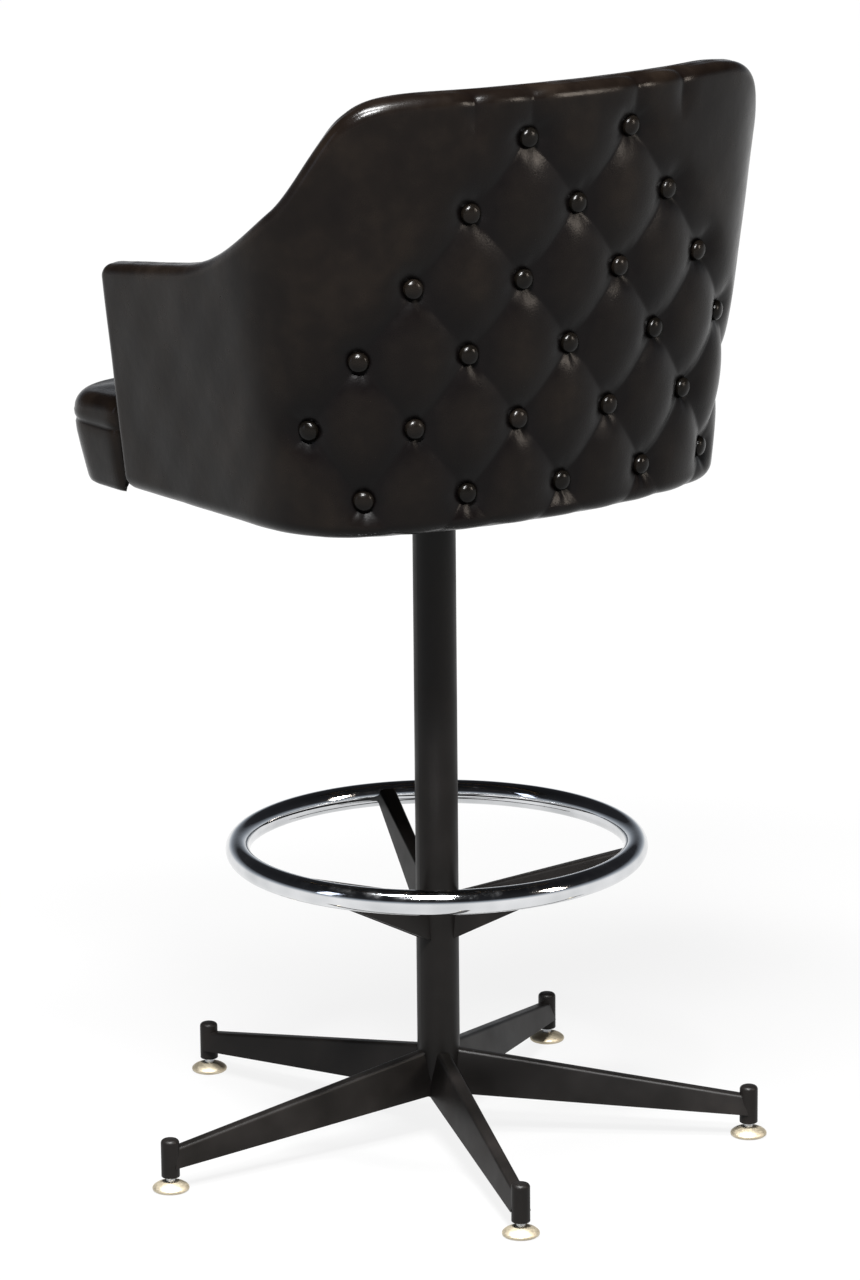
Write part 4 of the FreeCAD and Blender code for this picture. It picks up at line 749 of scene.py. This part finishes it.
# %% Make the foot ring
RING_RAD, BAR_RAD, RING_HEIGHT = 206.0, 12.7, 313.0
RING_STEPS, BAR_STEPS = 192, 40
turn = 2 * math.pi * np.arange(RING_STEPS) / RING_STEPS
bar = 2 * math.pi * np.arange(BAR_STEPS) / BAR_STEPS
turn, bar = np.meshgrid(turn, bar, indexing="ij")
reach = RING_RAD + BAR_RAD * np.cos(bar)
points = np.stack([reach * np.cos(turn), reach * np.sin(turn),
                   RING_HEIGHT + BAR_RAD * np.sin(bar)], -1)
ring = new_piece("chromed_foot_ring", points.reshape(-1, 3),
                 grid_faces(RING_STEPS, BAR_STEPS, close_rows=True, close_columns=True),
                 chrome, "base")
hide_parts("footrest_ring")

# %% [markdown]
# ## Powder-coated steel
# The legs and struts are folded sheet, 2.5 mm thick, and the column is drawn tube. Black
# powder is sprayed on dry and baked, which leaves a satin skin with a fine orange peel of
# one to two millimetres. Its tone and its shine differ a little from patch to patch. The peel
# is a bump in the material, because as real shape it would take millions of faces.

# %% Powder coat
powder, shader, where = mottled(
    "black_powder_coat", 0.0, [(0.25, "#080706"), (0.6, "#0e0c0b"), (0.85, "#171412")],
    (55.0, 3.0), (0.3, 0.7, 0.38, 0.5), (55.0, 3.0))
shader.inputs["Specular IOR Level"].default_value = 0.15
peel = add(powder, "TexNoise", None, Vector=where, Scale=per_metre(1.6), Detail=2.0,
           Roughness=NOISE_ROUGH)
join(powder, shader, "Normal",
     add(powder, "Bump", None, Strength=0.22, Distance=0.0003, Height=peel))
print("powder coat:", len(powder.node_tree.nodes), "nodes")

# %% [markdown]
# ## Folded legs
# A leg is one strip of steel folded into a channel, open below, and tapered from the column to
# the glide. Its section is a profile with rounded folds, and the profile is carried along the
# leg while its width and its heights change evenly. Both ends follow the round that they are
# welded to: each point of an end is moved along the leg until it lies on that round. A box cut
# hollow and bevelled would look alike from above, but not from below and not at its ends.

# %% A folded channel
SHEET, BEND_RAD, CRISP_ANGLE, BAR_SECTIONS = 2.5, 4.0, 28.0, 29


def channel(width, high, low, lean):
    """The outer line of a folded channel from one foot over the ridge to the other, and its
    inner line, as points of breadth and height. The folds are arcs tangent to their sides."""
    half = width / 2
    crest = half - (high - low) * lean
    tilt = math.atan(lean)
    turns = np.linspace(0, math.pi / 2 - tilt, 7)

    def line(inset, radius):
        """The line at an inset from the outer one, with its folds bent to a radius."""
        top = high - inset
        edge = crest + inset * lean - inset / math.cos(tilt)
        back = radius * math.tan((math.pi / 2 - tilt) / 2)
        foot = half - inset / math.cos(tilt)
        centre = np.array([edge - back, top - radius])
        arc = centre + radius * np.stack([np.cos(tilt + turns), np.sin(tilt + turns)], 1)
        right = np.concatenate([[[foot, low]], arc])
        return np.concatenate([right, right[::-1] * [-1, 1]])

    return line(0.0, BEND_RAD), line(SHEET, BEND_RAD - SHEET)


# %% A bar of that channel
def folded_bar(name, root, tip, ridge_lean, start_round, end_round, cad_node, angle):
    """A channel carried along X between two surfaces that it is coped to, then turned about
    the column. Root and tip are a width, the ridge's height and the feet's height. Each
    surface gives a place along X for a breadth and a height."""
    steps = np.linspace(0, 1, BAR_SECTIONS)
    sections = []
    for step in steps:
        width, high, low = [a + (b - a) * step for a, b in zip(root, tip)]
        outer, inner = channel(width, high, low, ridge_lean)
        sections.append(np.concatenate([outer, inner[::-1]]))
    near, far = start_round(*sections[0].T), end_round(*sections[-1].T)
    rings = np.array([np.column_stack([near + (far - near) * step, section])
                      for step, section in zip(steps, sections)])
    count = rings.shape[1]
    faces = grid_faces(len(steps), count, close_columns=True)
    half = count // 2
    j = np.arange(half - 1)
    cap = np.stack([j, j + 1, count - 2 - j, count - 1 - j], 1)
    faces = np.concatenate([faces, cap, cap[:, ::-1] + count * (len(steps) - 1)])
    turn = math.radians(angle)
    x, y, z = rings.reshape(-1, 3).T
    points = np.stack([x * math.cos(turn) - y * math.sin(turn),
                       x * math.sin(turn) + y * math.cos(turn), z], 1)
    piece = new_piece(name, points, faces, powder, "base")
    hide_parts(cad_node)
    crisp_folds(piece, CRISP_ANGLE)


# %% Make the legs
LEG_ROOT, LEG_TIP, LEG_CREST, LEG_START = (31.6, 93.0, 48.0), (21.0, 46.0, 25.0), 13.0, -3.7
COLUMN_RAD, SOCKET_RAD, GLIDE_RAD = 22.225, 9.5, 324.0
INTO_COLUMN, INTO_TIP = 0.2, 0.1
LEG_LEAN = (LEG_ROOT[0] - LEG_CREST) / 2 / (LEG_ROOT[1] - LEG_ROOT[2])


def on_column(y, z):
    """The column's round, a hair inside its skin."""
    return np.sqrt(np.maximum((COLUMN_RAD - INTO_COLUMN) ** 2 - y ** 2, 0))


def on_socket(y, z):
    """The near side of a socket's round at the leg's end."""
    return GLIDE_RAD - np.sqrt(np.maximum((SOCKET_RAD - INTO_TIP) ** 2 - y ** 2, 0))


def on_ring(y, z):
    """The inner side of the ring's bar."""
    return RING_RAD - np.sqrt((BAR_RAD - INTO_TIP) ** 2 - (z - RING_HEIGHT) ** 2)


for number in range(5):
    folded_bar("leg_%d_folded" % (number + 1), LEG_ROOT, LEG_TIP, LEG_LEAN, on_column,
               on_socket, "leg_%d" % (number + 1), LEG_START + 72 * number)

# %% Make the struts
# The photograph shows the tips on the ring's inner side, a little higher than in the CAD
STRUT_ROOT, STRUT_TIP, STRUT_START = (20.0, 265.0, 216.0), (20.0, 321.0, 306.0), 9.5
STRUT_CREST, STRUT_DEPTH = 11.0, 53.0
STRUT_LEAN = (STRUT_ROOT[0] - STRUT_CREST) / 2 / STRUT_DEPTH
for number in range(3):
    folded_bar("strut_%d_folded" % (number + 1), STRUT_ROOT, STRUT_TIP, STRUT_LEAN, on_column,
               on_ring, "footrest_strut_%d" % (number + 1), STRUT_START + 120 * number)

# %% [markdown]
# ## Sockets and glides
# A turned post is welded to each leg's end, with a thread up its middle. The glide is a
# threaded stem in a pressed and plated cup that rocks a little and shows a soft, pale shine.
# Both are turned profiles, since a plain cylinder would have neither the post's rounded top
# nor the cup's rolled lip. Each cup is a piece of its own, because it moves with its glide.

# %% Turned pieces
TURNED_ANGLE, SOCKET_SIDES, CUP_SIDES = 40.0, 40, 48


def turned_piece(name, profile, count, places, material, body, node):
    """One or more turned pieces, each about an upright axis at its own place."""
    local = turned_points(profile, count)
    flat = local.reshape(-1, 3)
    points = (flat[None] + np.array([[x, y, 0.0] for x, y in places])[:, None]).reshape(-1, 3)
    one = grid_faces(*local.shape[:2], close_columns=True)
    piece = new_piece(name, points, repeat_faces(one, len(flat), len(places)), material, body)
    crisp_folds(piece, TURNED_ANGLE)
    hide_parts(node)


# %% Make the sockets and the glide cups
HOLE_RAD, HOLE_TOP, SOCKET_LOW, SOCKET_ROUND, ROUND_LEVEL = 4.9, 45.0, 15.0, 4.0, 51.0
leg_angles = [math.radians(LEG_START + 72 * k) for k in range(5)]
glide_places = [(GLIDE_RAD * math.cos(a), GLIDE_RAD * math.sin(a)) for a in leg_angles]
top_round = quarter(SOCKET_RAD - SOCKET_ROUND, ROUND_LEVEL, SOCKET_ROUND, SOCKET_ROUND, 90, 0, 7)
socket_profile = np.concatenate([
    [[0.0, HOLE_TOP], [HOLE_RAD, HOLE_TOP], [HOLE_RAD, SOCKET_LOW], [8.9, SOCKET_LOW],
     [SOCKET_RAD, 15.6]], top_round, [[0.0, 55.2]]])
turned_piece("glide_sockets_turned", socket_profile, SOCKET_SIDES, glide_places, powder,
             "base", "glide_sockets")
cup_profile = [[5.2, 7.4], [11.2, 7.2], [11.4, 0.0], [15.4, 0.0], [17.4, 0.7], [18.5, 1.6],
               [19.0, 2.9], [18.7, 4.2], [17.6, 5.5], [15.6, 7.0], [13.0, 8.3], [10.5, 9.2],
               [8.6, 9.8], [8.0, 10.0], [5.0, 10.0], [5.0, 7.4], [5.2, 7.4]]
for k, place in enumerate(glide_places):
    turned_piece("glide_cup_%d_pressed" % (k + 1), cup_profile, CUP_SIDES, [place], nickel,
                 "glide_%d" % (k + 1), "glide_cup_%d" % (k + 1))

# %% [markdown]
# ## Finishes for the CAD pieces that stay
# The column, the swivel parts, the board and the dust cover keep their CAD shapes. Each gets
# the finish of its real material: zinc on screws and stems, birch ply, natural nylon, black
# paint, and a thin black felt under the seat. New meshes would add nothing, since these pieces
# are plain tubes and sheets, or hidden inside the seat.

# %% Hardware finishes
zinc = mottled("zinc_plated_steel", 1.0, [(0.3, "#8f9296"), (0.7, "#b9bcbf")], (4.0, 3.0),
               (0.3, 0.7, 0.25, 0.42), (1.5, 2.0))[0]
spring = mottled("oiled_spring_steel", 1.0, [(0.3, "#4a4c4e"), (0.7, "#6e7072")], (5.0, 2.0),
                 (0.3, 0.7, 0.3, 0.45), (2.0, 2.0))[0]
nylon, shader, where = mottled("natural_nylon", 0.0, [(0.3, "#d8d3c4"), (0.7, "#ece8dc")],
                               (12.0, 2.0), (0.3, 0.7, 0.4, 0.5), (3.0, 2.0))
shader.inputs["Subsurface Weight"].default_value = 0.1
print("hardware finishes:", zinc.name, spring.name, nylon.name)

# %% Board and dust cloth
ply, shader, where = finish("birch_plywood")
stretched = add(ply, "Mapping", None, Vector=where, Scale=(12.0, 1.2, 200.0))
streak = add(ply, "TexNoise", None, Vector=stretched, Scale=9.0, Detail=5.0)
join(ply, shader, "Base Color",
     add(ply, "ValToRGB", {"stops": [(0.3, "#a97f4e"), (0.55, "#c49a68"), (0.8, "#d3b184")]},
         Fac=streak))
join(ply, shader, "Roughness", add(ply, "MapRange", None, Value=streak, From_Min=0.3,
                                   From_Max=0.8, To_Min=0.55, To_Max=0.7))

felt, shader, where = mottled("black_dust_cloth", 0.0, [(0.3, "#121214"), (0.7, "#26262a")],
                              (1.4, 4.0), (0.3, 0.7, 0.85, 0.97), (1.4, 4.0))
fibres = add(felt, "TexNoise", None, Vector=where, Scale=per_metre(1.4), Detail=4.0,
             Roughness=NOISE_ROUGH)
join(felt, shader, "Normal",
     add(felt, "Bump", None, Strength=0.4, Distance=0.0004, Height=fibres))
print("ply and cloth:", ply.name, felt.name)

# %% Give the kept CAD nodes their finishes
KEPT = {"column_tube": powder, "seat_plate": powder, "swivel_spindle": zinc,
        "retaining_clip": spring, "swivel_sleeve": nylon, "seat_board": ply, "seat_shell": ply,
        "shell_dowels": ply, "plate_screws": zinc, "bottom_cover": felt}
KEPT.update({"glide_stem_%d" % k: zinc for k in range(1, 6)})
for node, material in KEPT.items():
    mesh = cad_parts[node].data
    mesh.materials.clear()
    mesh.materials.append(material)
print("CAD nodes finished:", len(KEPT))

# %% [markdown]
# ## Floor, light and camera
# The stool stands on a wide paper sweep. The paper itself is dark, and to the camera and in
# mirrors it adds light of its own: a little less round the stool, where the shadow has to
# show, and full white further off. The room is white at the horizon and dark overhead, so
# chrome and vinyl have something dark to show between the lamps. Two narrow bright boxes hang
# above the stool on the camera's side. They draw the streak on the rolled rim and the spots
# beside the buttons. A weak box on each side opens the shadows.

# %% Floor
FLOOR_M, GLOW_NEAR_M, GLOW_FAR_M, GLOW_NEAR = 70.0, 0.6, 2.6, 0.87
bpy.ops.mesh.primitive_plane_add(size=FLOOR_M, location=(0, 0, 0))
floor = bpy.context.object
floor.name = "floor"
paper, shader, where = finish("white_paper_sweep")
cloud = add(paper, "TexNoise", None, Vector=where, Scale=per_metre(900.0), Detail=2.0,
            Roughness=NOISE_ROUGH)
join(paper, shader, "Base Color",
     add(paper, "ValToRGB", {"stops": [(0.3, "#303030"), (0.7, "#343434")]}, Fac=cloud))
shader.inputs["Roughness"].default_value = 0.95
shader.inputs["Specular IOR Level"].default_value = 0.05
rays = add(paper, "LightPath")
seen = add(paper, "Math", {"operation": "MAXIMUM"}, _0=rays.outputs["Is Camera Ray"],
           _1=rays.outputs["Is Glossy Ray"])
seen = add(paper, "Math", {"operation": "MAXIMUM"}, _0=seen,
           _1=rays.outputs["Is Transmission Ray"])
far_off = add(paper, "VectorMath", {"operation": "LENGTH"}, _0=where).outputs["Value"]
rising = add(paper, "MapRange", None, Value=far_off, From_Min=GLOW_NEAR_M,
             From_Max=GLOW_FAR_M, To_Min=GLOW_NEAR, To_Max=1.0)
share = add(paper, "Math", {"operation": "MULTIPLY"}, _0=seen, _1=rising)
glow = add(paper, "Emission", None, Color=(1, 1, 1, 1), Strength=share)
output = [n for n in paper.node_tree.nodes if n.type == "OUTPUT_MATERIAL"][0]
join(paper, output, "Surface", add(paper, "AddShader", None, _0=shader, _1=glow))
floor.data.materials.append(paper)
print("floor:", FLOOR_M, "m wide, its paper has", len(paper.node_tree.nodes), "nodes")

# %% World
room = bpy.data.worlds.new("studio")
bpy.context.scene.world = room
room.use_nodes = True
room.node_tree.nodes.clear()
toward = add(room, "TexCoord").outputs["Generated"]
height = add(room, "SeparateXYZ", None, Vector=toward).outputs["Z"]
tone = add(room, "ValToRGB", {"stops": [(0.0, "#ffffff"), (0.08, "#cfd4da"),
                                        (0.2, "#8d939b"), (0.34, "#2c2d30"),
                                        (1.0, "#161618")]}, Fac=height)
air = add(room, "Background", None, Color=tone, Strength=1.0)
add(room, "OutputWorld", Surface=air)
print("world:", room.name)


# %% Lights
def soft_box(name, place, target, size, power, colour="#ffffff"):
    """A rectangular lamp at a place, facing a target. Places are in metres, power in watts."""
    lamp = bpy.data.lights.new(name, "AREA")
    lamp.shape = "RECTANGLE"
    lamp.size, lamp.size_y = size
    lamp.energy, lamp.color = power, linear(colour)[:3]
    holder = bpy.data.objects.new(name, lamp)
    bpy.context.scene.collection.objects.link(holder)
    aim = Vector(target) - Vector(place)
    holder.location = place
    holder.rotation_euler = aim.to_track_quat("-Z", "Y").to_euler()
    print("lamp", name, "of", power, "W at", place)


BACK_MIDDLE = (0.0, 0.2, 0.95)
soft_box("overhead", (0.78, 0.62, 3.05), BACK_MIDDLE, (1.3, 0.4), 330.0)
soft_box("key", (1.35, 1.65, 2.95), BACK_MIDDLE, (0.9, 0.4), 360.0)
soft_box("side_right", (-1.6, 2.6, 1.9), (0.0, 0.1, 0.85), (0.5, 1.1), 50.0, "#fff1e2")
soft_box("side_left", (3.0, -0.4, 1.7), (0.0, 0.0, 0.8), (0.5, 1.4), 6.0, "#dfe9ff")

# %% [markdown]
# ## Camera
# The photograph was taken from behind and to the stool's right, a little above it, with a long
# lens. The angle, distance and length of the lens come from a fit of the base's five feet, the
# foot ring and the buttons to the picture. The lens and the shift are worked out for a frame of
# 860 by 1280 pixels.

# %% Camera
FRAME_HIGH, FOCAL, SENSOR_MM = 1280.0, 5360.9, 36.0
TURN, PITCH_DOWN, ROLL_ANGLE = math.radians(144.0), 0.24508, -0.00891
DISTANCE, EYE_HEIGHT, AXIS_RIGHT = 5.3353, 1.8662, 5.007
right = Vector((math.cos(TURN), math.sin(TURN), 0.0))
away = Vector((-math.sin(TURN), math.cos(TURN), 0.0))
look = away * math.cos(PITCH_DOWN) - Vector((0, 0, 1)) * math.sin(PITCH_DOWN)
up = right.cross(look)
tilted_right = right * math.cos(ROLL_ANGLE) + up * math.sin(ROLL_ANGLE)
tilted_up = up * math.cos(ROLL_ANGLE) - right * math.sin(ROLL_ANGLE)
camera = bpy.data.objects.new("camera", bpy.data.cameras.new("camera"))
bpy.context.scene.collection.objects.link(camera)
turned = Matrix((tilted_right, tilted_up, -look)).transposed().to_4x4()
camera.matrix_world = Matrix.Translation(Vector((0, 0, EYE_HEIGHT)) - away * DISTANCE) @ turned
camera.data.sensor_width = SENSOR_MM
camera.data.lens = SENSOR_MM * FOCAL / FRAME_HIGH
camera.data.shift_x = -AXIS_RIGHT / FRAME_HIGH
camera.data.clip_end = 100.0
bpy.context.scene.camera = camera
bpy.context.scene.view_settings.view_transform = "Standard"
print("camera at", tuple(round(v, 3) for v in camera.location), "lens", round(camera.data.lens, 1))
